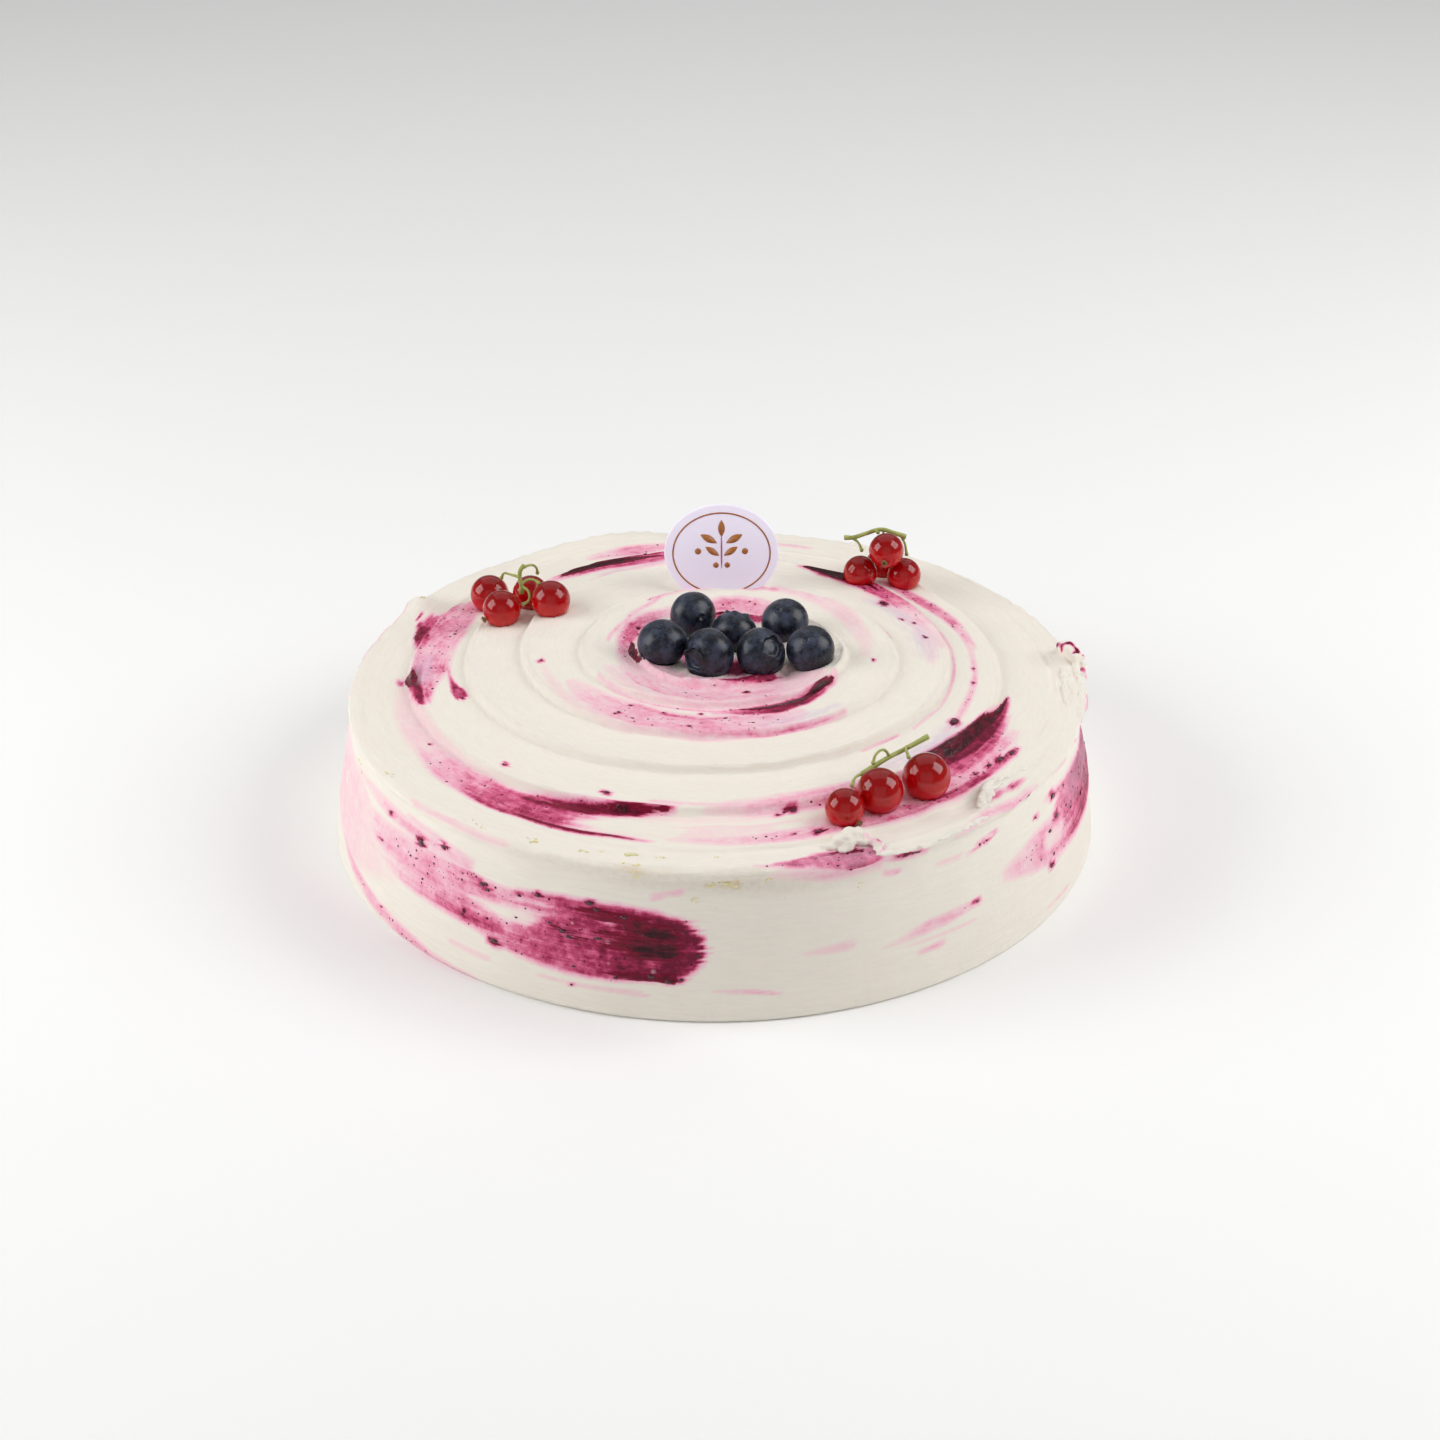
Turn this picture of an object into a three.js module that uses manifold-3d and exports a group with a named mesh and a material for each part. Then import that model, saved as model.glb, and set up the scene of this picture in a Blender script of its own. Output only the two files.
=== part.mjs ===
// A round cream cake, marbled with berry jam, with fresh berries and a small oval plaque.
// Millimetres, +Z up, origin at the middle of the underside. The front of the cake faces -Y.
//
// The cream is one solid: a lathed outline whose top follows the turns of a palette knife.
// Every berry, each sprig's stalks and the plaque is a solid of its own, and the ones that
// touch the cream sit in a dimple with a small gap all round.

import * as THREE from "three";
import { mergeVertices } from "three/addons/utils/BufferGeometryUtils.js";
import Module from "manifold-3d";

const wasm = await Module();
wasm.setup();

const { degToRad, lerp, smoothstep } = THREE.MathUtils;
const FULL_TURN = 2 * Math.PI;

// ---- Cake body ----
const BASE_RADIUS = 103.9;
const RIM_RADIUS = 98;
const RIM_HEIGHT = 39.8;
const FOOT_ROUNDING = 1.2;
const SHOULDER = { drop: 2.2, overhang: 1 };
const SHOULDER_TOP = { drop: 0.5, overhang: 0.4 };
const SIDE_ROWS = [0.3, 0.6, 0.85, 1];
const SECTORS = 64;
const RINGS = 31;
const EDGE_RING = RIM_RADIUS - 1;

// ---- Top: a low dome with a hollow for the berries ----
const DOME_HEIGHT = 8.5;
const DOME_SHARE = [
  // ring radius, share of the dome's height
  [0, 0.45], [12, 0.5], [22, 0.62], [30, 0.9], [38, 1], [50, 0.87],
  [63, 0.66], [75, 0.36], [85, 0.13], [RIM_RADIUS, 0],
];
const SWIRL_CENTRE = new THREE.Vector2(5, 10);

// ---- Palette knife turns: the spiral runs inwards as the angle grows ----
const TURN_PITCH = 14.5;
const TURN_START = 76.9;
const TURN_DEPTH = 1.1;
const TURN_CREST = 0.75;
const OUTER_TURNS = { from: 57, shift: 4.5 };
const INNER_TURNS = { to: 45, shift: -2, oval: 2.5, shrink: 3.1 };
const TURNS_BEGIN = [6, 14];
const TURNS_END = [84, 95];

// ---- Rim: waves of the lip and the places where the knife lifted the cream ----
const LIP_HEIGHT = 0.7;
const LIP_RINGS = [86, 95];
const LIP_WAVE = 0.35;
const SIDE_WAVE = 0.4;
const SIDE_WAVE_RISE = 7;
const RIM_BAND = 3;
const RIM_MARKS = [
  // angle in degrees, ring radius, height, length along the rim, width across it
  { name: "front curl", angle: -70, radius: 95, height: 1.6, along: 8, across: 3 },
  { name: "front dent", angle: -46, radius: 92, height: -1.6, along: 7, across: 3.5 },
  { name: "dent lip", angle: -40, radius: 96, height: 1.8, along: 4, across: 3 },
  { name: "right blob", angle: 9, radius: 97, height: 3.4, along: 5, across: 4 },
  { name: "left peak", angle: 151, radius: 96, height: 2.6, along: 4, across: 3.5 },
  { name: "back ridge", angle: 110, radius: 95, height: 1.8, along: 14, across: 4 },
  { name: "back dip", angle: 96, radius: 96, height: -1, along: 7, across: 4 },
];

// ---- Blueberries: "up" is the way that the crown points ----
const GAP = 0.3;
const BLUEBERRY = {
  crownLobes: 5, sides: 15, flatness: 0.88, rest: 0.84,
  outline: [-62, -35, -10, 15, 40, 60],
  crownRadius: 0.4, crownHeight: 0.96, crownFlare: 0.12, crownPoint: 0.3, pitDepth: 1,
};
const DIMPLE_DETAIL = 2;
const BLUEBERRIES = [
  { x: -13.9, y: 4.5, radius: 6.9, up: [0.1, 0.2, -1] },
  { x: -5.8, y: 21.7, radius: 6.5, up: [-0.4, 0.8, -0.3] },
  { x: -1.4, y: -1.7, radius: 7.1, up: [-0.78, -0.58, 0.2] },
  { x: 5.5, y: 14.2, radius: 6.3, up: [0.2, 0.5, 0.85] },
  { x: 12.6, y: -0.9, radius: 6.9, up: [0.64, -0.45, 0.62] },
  { x: 19.5, y: 17.5, radius: 6.6, up: [0.3, 0.5, -0.8] },
  { x: 26, y: -0.9, radius: 6.6, up: [0.2, 0.6, -0.8] },
];

// ---- Redcurrant sprigs: "up" is the way that the dried tuft of the flower points ----
// A currant that lies on others states its own height. The first route is the main stalk,
// and the others are the thin stalks of the currants, all laid by hand.
const CURRANT = { sides: 12, rest: 0.8, outline: [-60, -32, -5, 22, 48, 72] };
const TUFT = { length: 1.2, neck: 0.6, neckHeight: 0.98, tip: 0.9 };
const STALK_RADIUS = 0.65;
const PEDICEL_RADIUS = 0.4;
const STALK_SIDES = 6;
const STEPS_PER_POINT = 2;
const SPRIGS = [
  {
    name: "a",
    currants: [
      { x: -63.6, y: 43.6, radius: 5.2, up: [-0.5, 0.3, -0.8] },
      { x: -59, y: 28.6, radius: 5, up: [-0.8, -0.5, -0.3] },
      { x: -51.6, y: 39, radius: 4.8, up: [0.2, 0.5, -0.85] },
      { x: -45.5, y: 29.8, radius: 5.1, up: [0.7, -0.2, -0.7] },
    ],
    routes: [
      [[-53.8, 33, 51.7], [-53.7, 33, 53.5], [-54.1, 33, 56.6], [-53.5, 33, 59.5], [-52.6, 33.5, 60]],
      [[-54.4, 33.4, 56.6], [-57.1, 37.5, 55.4], [-59.2, 41.1, 53.9], [-59.9, 42.2, 52.1]],
      [[-53, 33.2, 59.8], [-50.9, 36, 59], [-49.8, 38.6, 57], [-49.6, 40.4, 54.5]],
      [[-53.6, 33, 54.6], [-52, 32.3, 56.2], [-50, 31.4, 56.6], [-48.8, 30.7, 56]],
      [[-53.7, 33, 54], [-51.6, 31.5, 52.7], [-51.7, 30.2, 50.8], [-53.2, 29.4, 50.1]],
    ],
  },
  {
    name: "b",
    currants: [
      { x: 41.8, y: 51.7, radius: 4.6, up: [-0.5, 0.2, -0.8] },
      { x: 54.4, y: 53.1, radius: 4.6, up: [0.5, -0.2, -0.8] },
      { x: 49, y: 50.7, z: 56, radius: 4.7, up: [-0.15, -0.95, -0.25] },
      { x: 48.3, y: 62, radius: 4.4, up: [0.1, 0.6, -0.8] },
    ],
    routes: [
      [[37.2, 56.2, 57.5], [39.7, 56.2, 57.5], [43.6, 56.2, 58.8], [47.7, 56.6, 59.8],
        [51.2, 56.4, 58.9], [54.9, 56.2, 57.6]],
      [[39.4, 56.2, 57.5], [41.3, 55.4, 56.2], [42.2, 54.4, 54.4]],
      [[53.4, 56.2, 58], [54.6, 56.1, 55.6], [55.2, 55.7, 52.4]],
      [[45.6, 56.4, 59.3], [46, 55, 60.4], [46.7, 53.6, 60.3]],
      [[48.6, 56.6, 59.6], [48.6, 60, 57], [48.4, 61.9, 52.4]],
    ],
  },
  {
    name: "c",
    currants: [
      { x: 32.3, y: -75.6, radius: 4.7, up: [0.62, -0.62, -0.45] },
      { x: 41.4, y: -68.8, radius: 5.6, up: [0.1, -0.4, -0.9] },
      { x: 53.4, y: -61.9, radius: 5.9, up: [0.3, -0.5, -0.8] },
    ],
    routes: [
      [[54.1, -54.7, 53.8], [48.1, -58.5, 52.3], [43.1, -61.8, 51.3], [36.9, -65.8, 49.2]],
      [[37.2, -65.6, 49.3], [35.2, -68.4, 49.8], [34.2, -72.4, 49.8]],
      [[44.2, -61, 51.5], [42.2, -63, 54.6], [40.2, -65.2, 54.2], [39.7, -66, 52.6]],
      [[49.4, -57.8, 52.6], [48.2, -60.4, 53.6], [48.8, -62, 51.9]],
    ],
  },
];

// ---- Plaque: an upright oval that leans back, its lower edge pushed into the cream ----
const PLAQUE = { width: 32.2, height: 28, thickness: 1, showing: 25, segments: 20 };
const PLAQUE_LEAN = degToRad(12);
const PLAQUE_FOOT = new THREE.Vector3(2.2, 41.5, 48);

// ---- Finishes, from the photograph ----
const FINISH = {
  cream: { color: 0xefe9dc, roughness: 0.5, metalness: 0 },
  blueberry: { color: 0x20242f, roughness: 0.45, metalness: 0 },
  currant: { color: 0xa30f14, roughness: 0.12, metalness: 0 },
  stalk: { color: 0x8c9440, roughness: 0.55, metalness: 0 },
  plaque: { color: 0xe3dff0, roughness: 0.4, metalness: 0 },
};

function meshOf(name, solid, finish) {
  const mesh = new THREE.Mesh(fromSolid(solid), new THREE.MeshStandardMaterial(FINISH[finish]));
  mesh.name = name;
  return mesh;
}

// ---- Closed solids and cuts ----
const MERGE_DISTANCE = 1e-4;

// Shares the vertices of a closed shape, drops the collapsed triangles and faces it outwards.
function closedGeometry(geometry) {
  const bare = geometry.clone();
  bare.deleteAttribute("normal");
  bare.deleteAttribute("uv");
  const merged = mergeVertices(bare, MERGE_DISTANCE);
  const index = merged.getIndex().array;
  const position = merged.getAttribute("position");
  const corner = [0, 1, 2].map(() => new THREE.Vector3());
  const faces = [];
  let volume = 0;
  for (let i = 0; i < index.length; i += 3) {
    const face = [index[i], index[i + 1], index[i + 2]];
    if (new Set(face).size < face.length) continue;
    face.forEach((vertex, k) => corner[k].fromBufferAttribute(position, vertex));
    volume += corner[0].dot(corner[1].cross(corner[2]));
    faces.push(face);
  }
  merged.setIndex(faces.flatMap((face) => (volume < 0 ? face.reverse() : face)));
  return merged;
}

function toSolid(geometry) {
  const closed = closedGeometry(geometry);
  return new wasm.Manifold(new wasm.Mesh({
    numProp: 3,
    vertProperties: new Float32Array(closed.getAttribute("position").array),
    triVerts: new Uint32Array(closed.getIndex().array),
  }));
}

function fromSolid(solid) {
  const mesh = solid.getMesh();
  const geometry = new THREE.BufferGeometry();
  geometry.setAttribute("position", new THREE.BufferAttribute(mesh.vertProperties, 3));
  geometry.setIndex(new THREE.BufferAttribute(mesh.triVerts, 1));
  geometry.computeVertexNormals();
  return geometry;
}

// ---- The cream's surface, as a height over a ring's radius and an angle ----

function domeHeight(radius) {
  const next = DOME_SHARE.findIndex(([ring]) => ring > radius);
  if (next < 0) return 0;
  const [inner, innerShare] = DOME_SHARE[next - 1];
  const [outer, outerShare] = DOME_SHARE[next];
  return DOME_HEIGHT * lerp(innerShare, outerShare, (radius - inner) / (outer - inner));
}

// How far the knife's turns stray from a circle: the outer ones lie further back,
// and the inner ones are pressed into an oval.
function turnOffset(radius, angle) {
  const outer = OUTER_TURNS.shift * Math.sin(angle);
  const inner = INNER_TURNS.oval * Math.cos(2 * angle)
    + INNER_TURNS.shift * Math.sin(angle) - INNER_TURNS.shrink;
  return lerp(inner, outer, smoothstep(radius, INNER_TURNS.to, OUTER_TURNS.from));
}

// One terrace for each turn: it rises outwards to a crest and then drops to the next one.
function turnHeight(radius, angle) {
  const unwound = radius - turnOffset(radius, angle) + TURN_PITCH * angle / FULL_TURN;
  const turn = (unwound - TURN_START) / TURN_PITCH;
  const across = turn - Math.floor(turn);
  const rise = Math.min(across / TURN_CREST, (1 - across) / (1 - TURN_CREST));
  const fade = smoothstep(radius, ...TURNS_BEGIN) - smoothstep(radius, ...TURNS_END);
  return TURN_DEPTH * (rise - 0.5) * fade;
}

function rimMarks(radius, angle) {
  let height = 0;
  for (const mark of RIM_MARKS) {
    const turn = angle - degToRad(mark.angle);
    const along = mark.radius * Math.atan2(Math.sin(turn), Math.cos(turn)) / mark.along;
    const across = (radius - mark.radius) / mark.across;
    height += mark.height * Math.exp(-along * along - across * across);
  }
  return height;
}

function lipHeight(radius, angle) {
  const wave = LIP_WAVE * (Math.sin(3 * angle + 1) + 0.6 * Math.sin(8 * angle));
  return (LIP_HEIGHT + wave) * smoothstep(radius, ...LIP_RINGS) + rimMarks(radius, angle);
}

function creamHeight(radius, angle) {
  return RIM_HEIGHT + domeHeight(radius) + turnHeight(radius, angle) + lipHeight(radius, angle);
}

// The rings share the rim's centre at the rim and drift to the swirl's centre inside it.
function driftOf(radius) {
  return SWIRL_CENTRE.clone().multiplyScalar(Math.max(0, 1 - radius / RIM_RADIUS));
}

function angleOf(x, y) {
  return (Math.atan2(y, x) + FULL_TURN) % FULL_TURN;
}

// The height of the cream over a place: its ring is found by going round a few times.
function creamOver(x, y) {
  const place = new THREE.Vector2(x, y);
  const fromCentre = place.clone();
  for (let pass = 0; pass < 30; pass += 1) {
    fromCentre.copy(place).sub(driftOf(fromCentre.length()));
  }
  return creamHeight(fromCentre.length(), angleOf(fromCentre.x, fromCentre.y));
}

// ---- The cream solid ----

function cakeOutline() {
  const outline = [
    new THREE.Vector2(0, 0),
    new THREE.Vector2(BASE_RADIUS - FOOT_ROUNDING, 0),
    new THREE.Vector2(BASE_RADIUS, FOOT_ROUNDING),
  ];
  for (const share of SIDE_ROWS) {
    outline.push(new THREE.Vector2(
      lerp(BASE_RADIUS, RIM_RADIUS + SHOULDER.overhang, share),
      lerp(FOOT_ROUNDING, RIM_HEIGHT - SHOULDER.drop, share),
    ));
  }
  outline.push(new THREE.Vector2(RIM_RADIUS + SHOULDER_TOP.overhang, RIM_HEIGHT - SHOULDER_TOP.drop));
  for (let ring = 0; ring <= RINGS; ring += 1) {
    outline.push(new THREE.Vector2(EDGE_RING * (1 - ring / RINGS), RIM_HEIGHT));
  }
  return outline;
}

// A place of the top, which the lathe left flat, moved to its drifted ring and its height.
function topPlace(radius, angle) {
  const drift = driftOf(radius);
  return [
    radius * Math.cos(angle) + drift.x,
    radius * Math.sin(angle) + drift.y,
    creamHeight(radius, angle),
  ];
}

// A place of the side: faint waves from the knife, and a rim that follows the lip.
function sidePlace(radius, angle, height) {
  const nearRim = smoothstep(height, RIM_HEIGHT - RIM_BAND, RIM_HEIGHT);
  const wave = SIDE_WAVE * Math.sin(2 * angle + height / SIDE_WAVE_RISE) * (1 - nearRim);
  return [
    (radius + wave) * Math.cos(angle),
    (radius + wave) * Math.sin(angle),
    height + nearRim * lipHeight(RIM_RADIUS, angle),
  ];
}

function creamSolid() {
  const geometry = new THREE.LatheGeometry(cakeOutline(), SECTORS);
  geometry.rotateX(Math.PI / 2);
  const position = geometry.getAttribute("position");
  const rounding = 0.01;
  for (let i = 0; i < position.count; i += 1) {
    const radius = Math.hypot(position.getX(i), position.getY(i));
    const angle = angleOf(position.getX(i), position.getY(i));
    const height = position.getZ(i);
    if (height > RIM_HEIGHT - rounding) {
      position.setXYZ(i, ...topPlace(radius, angle));
    } else if (height > FOOT_ROUNDING + rounding) {
      position.setXYZ(i, ...sidePlace(radius, angle, height));
    }
  }
  return toSolid(geometry);
}

// ---- Berries ----

function ballOutline(radius, half, degreesUp) {
  const outline = [new THREE.Vector2(0, -half)];
  for (const degrees of degreesUp) {
    const turn = degToRad(degrees);
    outline.push(new THREE.Vector2(radius * Math.cos(turn), half * Math.sin(turn)));
  }
  return outline;
}

// A flattened ball with a pit inside a five-pointed crown, lathed round +Y.
function blueberryGeometry(radius) {
  const half = radius * BLUEBERRY.flatness;
  const crown = radius * BLUEBERRY.crownRadius;
  const rim = half * BLUEBERRY.crownHeight;
  const outline = ballOutline(radius, half, BLUEBERRY.outline);
  outline.push(
    new THREE.Vector2(crown, rim),
    new THREE.Vector2(0.8 * crown, rim - 0.1),
    new THREE.Vector2(0.55 * crown, rim - 0.9 * BLUEBERRY.pitDepth),
    new THREE.Vector2(0, rim - BLUEBERRY.pitDepth),
  );
  const geometry = new THREE.LatheGeometry(outline, BLUEBERRY.sides);
  const position = geometry.getAttribute("position");
  for (let i = 0; i < position.count; i += 1) {
    if (Math.abs(position.getY(i) - rim) > 0.15) continue;
    const lobe = Math.cos(BLUEBERRY.crownLobes * angleOf(position.getX(i), position.getZ(i)));
    const flare = 1 + BLUEBERRY.crownFlare * lobe;
    const point = BLUEBERRY.crownPoint * lobe;
    position.setXYZ(i, position.getX(i) * flare, position.getY(i) + point, position.getZ(i) * flare);
  }
  return geometry;
}

// A ball with the short dried tuft of its flower, lathed round +Y. Grown, it is its own room.
function currantGeometry(radius, grow) {
  const ball = radius + grow;
  const tip = ball + TUFT.length;
  const outline = ballOutline(ball, ball, CURRANT.outline);
  outline.push(
    new THREE.Vector2(TUFT.neck + grow, ball * TUFT.neckHeight),
    new THREE.Vector2(TUFT.tip + grow, tip),
    new THREE.Vector2(0, tip),
  );
  return new THREE.LatheGeometry(outline, CURRANT.sides);
}

// Turns a berry so that its crown or tuft points the right way, and sets it on the cream.
function setDown(mesh, berry, rest) {
  const up = new THREE.Vector3(...berry.up).normalize();
  mesh.quaternion.setFromUnitVectors(new THREE.Vector3(0, 1, 0), up);
  mesh.position.set(berry.x, berry.y, berry.z ?? creamOver(berry.x, berry.y) + rest * berry.radius);
  mesh.updateMatrix();
}

// Cuts out of the cream the room that a piece needs, given in the piece's own frame.
function pressInto(cream, room, mesh) {
  return cream.subtract(toSolid(room.applyMatrix4(mesh.matrix)));
}

// ---- Stalks ----

function tubeSolid(points, radius) {
  const section = new THREE.Shape();
  section.absarc(0, 0, radius, 0, FULL_TURN);
  return toSolid(new THREE.ExtrudeGeometry(section, {
    steps: STEPS_PER_POINT * points.length,
    extrudePath: new THREE.CatmullRomCurve3(points.map((point) => new THREE.Vector3(...point))),
    curveSegments: STALK_SIDES / 2,
  }));
}

function stalksSolid([main, ...pedicels]) {
  const stalk = tubeSolid(main, STALK_RADIUS);
  return pedicels.reduce((joined, route) => joined.add(tubeSolid(route, PEDICEL_RADIUS)), stalk);
}

// ---- Plaque ----

function plaqueGeometry(grow) {
  const thickness = PLAQUE.thickness + 2 * grow;
  const oval = new THREE.Shape();
  oval.absellipse(0, 0, PLAQUE.width / 2 + grow, PLAQUE.height / 2 + grow, 0, FULL_TURN);
  const geometry = new THREE.ExtrudeGeometry(oval, {
    depth: thickness,
    bevelEnabled: false,
    curveSegments: PLAQUE.segments,
  });
  return geometry.translate(0, PLAQUE.showing - PLAQUE.height / 2, -thickness / 2);
}

// ---- Assembly ----

const cake = new THREE.Group();
let cream = creamSolid();

BLUEBERRIES.forEach((berry, i) => {
  const mesh = meshOf(`blueberry_${i + 1}`, toSolid(blueberryGeometry(berry.radius)), "blueberry");
  setDown(mesh, berry, BLUEBERRY.rest);
  cake.add(mesh);
  const room = new THREE.IcosahedronGeometry(berry.radius + GAP, DIMPLE_DETAIL);
  cream = pressInto(cream, room, mesh);
});

for (const { name, currants, routes } of SPRIGS) {
  const sprig = new THREE.Group();
  currants.forEach((berry, i) => {
    const mesh = meshOf(`currant_${name}${i + 1}`, toSolid(currantGeometry(berry.radius, 0)), "currant");
    setDown(mesh, berry, CURRANT.rest);
    sprig.add(mesh);
    cream = pressInto(cream, currantGeometry(berry.radius, GAP), mesh);
  });
  sprig.add(meshOf(`stem_${name}`, stalksSolid(routes), "stalk"));
  cake.add(sprig);
}

const plaque = meshOf("plaque", toSolid(plaqueGeometry(0)), "plaque");
plaque.rotation.x = Math.PI / 2 - PLAQUE_LEAN;
plaque.position.copy(PLAQUE_FOOT);
plaque.updateMatrix();
cake.add(plaque);
cream = pressInto(cream, plaqueGeometry(GAP), plaque);

cake.add(meshOf("cake", cream, "cream"));

export default cake;
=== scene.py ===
# %% [markdown]
# # Dressing a blueberry cream cake
# The real cake is a round sponge under a coat of whipped cream. A palette knife has dragged
# berry jam through the cream, and fresh berries and a small oval plaque stand on top.
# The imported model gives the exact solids. This lesson lays finer pieces over them, each one
# in its own solid's place, and gives every surface a material of its own.

# %% The tools, and the frame that every piece is laid over
import math
import random

import bmesh
import bpy
import numpy as np
from mathutils import Matrix, Vector, noise
from mathutils.bvhtree import BVHTree


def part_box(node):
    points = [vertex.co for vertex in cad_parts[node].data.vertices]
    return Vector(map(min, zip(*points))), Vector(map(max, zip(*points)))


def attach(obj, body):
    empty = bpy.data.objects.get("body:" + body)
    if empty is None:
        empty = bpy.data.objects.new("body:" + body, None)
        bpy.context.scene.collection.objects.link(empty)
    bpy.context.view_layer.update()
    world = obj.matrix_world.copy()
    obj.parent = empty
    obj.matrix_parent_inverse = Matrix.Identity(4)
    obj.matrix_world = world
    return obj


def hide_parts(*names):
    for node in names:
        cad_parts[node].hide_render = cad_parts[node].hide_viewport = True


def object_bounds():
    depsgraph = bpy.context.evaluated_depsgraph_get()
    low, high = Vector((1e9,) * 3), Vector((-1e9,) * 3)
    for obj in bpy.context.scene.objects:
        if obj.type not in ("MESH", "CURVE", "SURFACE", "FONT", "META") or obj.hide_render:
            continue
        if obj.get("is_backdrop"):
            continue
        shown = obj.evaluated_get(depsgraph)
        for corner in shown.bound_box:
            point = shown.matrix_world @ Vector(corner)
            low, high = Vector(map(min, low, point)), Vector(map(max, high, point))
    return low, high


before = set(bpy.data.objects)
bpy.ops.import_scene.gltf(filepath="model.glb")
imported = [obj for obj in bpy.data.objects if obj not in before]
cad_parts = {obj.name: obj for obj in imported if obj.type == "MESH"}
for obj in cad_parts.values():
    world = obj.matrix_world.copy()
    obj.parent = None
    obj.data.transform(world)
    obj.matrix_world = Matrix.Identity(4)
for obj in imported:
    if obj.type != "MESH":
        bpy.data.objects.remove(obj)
cad_low, cad_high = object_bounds()
print("solids in the frame:", len(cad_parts))
print("size of the frame in metres:", [round(side, 4) for side in cad_high - cad_low])

# %% [markdown]
# ## Units
# Blender works in metres, and a cake maker thinks in millimetres. Every piece is modelled in
# millimetres and scaled once, when it is finished, so that the sizes below read like a recipe.

# %% Millimetres
MM = 0.001


def box_mm(node):
    """Lowest and highest corner of a solid of the frame, in millimetres."""
    low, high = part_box(node)
    return low / MM, high / MM


cake_low, cake_high = box_mm("cake")
BASE_RADIUS = (cake_high.x - cake_low.x) / 2
print(f"the cake is {2 * BASE_RADIUS:.1f} mm wide at its foot")

# %% [markdown]
# ## The camera
# A product photographer stands back and uses a long lens, which keeps the cake's ellipse calm.
# The camera could be aimed by a Track To constraint, but a constraint would bend with every
# other view. A matrix built from one turn, one tilt and a hair of roll says the same thing.

# %% A long lens, just over thirty degrees up
CAMERA_PLACE = Vector((0, -0.7205, 0.4217))
CAMERA_LENS = 75
CAMERA_TURN = math.radians(-0.118)
CAMERA_TILT = math.radians(90 - 28.59)
CAMERA_ROLL = math.radians(-0.24)

camera_data = bpy.data.cameras.new("camera")
camera_data.lens = CAMERA_LENS
camera = bpy.data.objects.new("camera", camera_data)
camera.matrix_world = (
    Matrix.Translation(CAMERA_PLACE)
    @ Matrix.Rotation(CAMERA_TURN, 4, "Z")
    @ Matrix.Rotation(CAMERA_TILT, 4, "X")
    @ Matrix.Rotation(CAMERA_ROLL, 4, "Z")
)
bpy.context.collection.objects.link(camera)
bpy.context.scene.camera = camera
print("camera to cake:", round(CAMERA_PLACE.length, 3), "m")

# %% [markdown]
# ## Studio light
# The currants mirror the studio: each shows one pale square at its upper left and one at its
# upper right. So two large softboxes stand left and right, a metre off. A weak one high up
# behind grazes the terraces, another in front lifts the side, and a pale world fills the
# rest. The Standard view keeps the reds and purples as strong as they are picked. Blender's
# default view is made for harsh light and would wash them out.

# %% Softboxes, and a helper that aims them


def softbox(name, place, size, watts):
    """A square area light that faces the cake."""
    data = bpy.data.lights.new(name, "AREA")
    data.energy = watts
    data.size = size
    light = bpy.data.objects.new(name, data)
    light.matrix_world = (
        Matrix.Translation(place)
        @ (-Vector(place)).to_track_quat("-Z", "Y").to_matrix().to_4x4()
    )
    bpy.context.collection.objects.link(light)


softbox("softbox_left", (-0.86, -0.1, 0.52), 0.7, 6.0)
softbox("softbox_right", (0.76, -0.05, 0.68), 0.7, 6.0)
softbox("softbox_behind", (0, 0.7, 1.1), 1.6, 3.8)
softbox("softbox_front", (0, -1.25, 0.5), 1.4, 1.75)

world = bpy.data.worlds.new("studio")
world.use_nodes = True
world.node_tree.nodes["Background"].inputs["Color"].default_value = (1, 0.99, 0.97, 1)
world.node_tree.nodes["Background"].inputs["Strength"].default_value = 0.2
bpy.context.scene.world = world
bpy.context.scene.view_settings.view_transform = "Standard"
print("lights:", [light.name for light in bpy.data.lights])

# %% [markdown]
# ## Colours
# Colours are picked as on a screen, in sRGB, but shaders add up light, which is linear.
# One small helper turns a picked colour into the linear one that a node socket wants.

# %% From a picked colour to light


def picked(red, green, blue):
    """A colour picked on a screen, 0 to 255 each, as the linear colour of a socket."""
    shares = [value / 255 for value in (red, green, blue)]
    return [s / 12.92 if s < 0.04045 else ((s + 0.055) / 1.055) ** 2.4 for s in shares] + [1]


def clear_material(name, **sockets):
    """A new material with one Principled BSDF; its constant sockets are set by name."""
    material = bpy.data.materials.new(name)
    material.use_nodes = True
    shader = material.node_tree.nodes["Principled BSDF"]
    for socket, value in sockets.items():
        shader.inputs[socket.replace("_", " ")].default_value = value
    return material, material.node_tree, shader


def connect(tree, socket, value):
    """Links another node's output to a socket, or sets a plain value."""
    if isinstance(value, bpy.types.NodeSocket):
        tree.links.new(value, socket)
    else:
        socket.default_value = value


def node(tree, kind, *links, **settings):
    """A new node; each link is (socket, value), and a value may be another node's output."""
    made = tree.nodes.new(kind)
    for name, value in settings.items():
        setattr(made, name, value)
    for socket, value in links:
        connect(tree, made.inputs[socket], value)
    return made


def blend(tree, mask, below, above):
    """One colour over another through a mask."""
    mix = node(tree, "ShaderNodeMix", (0, mask), data_type="RGBA")
    connect(tree, mix.inputs[6], below)
    connect(tree, mix.inputs[7], above)
    return mix.outputs[2]


def maths(tree, operation, *values, clamp=False):
    """One Math node, its inputs linked or set in order."""
    return node(
        tree, "ShaderNodeMath", *enumerate(values), operation=operation, use_clamp=clamp
    ).outputs[0]


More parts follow.
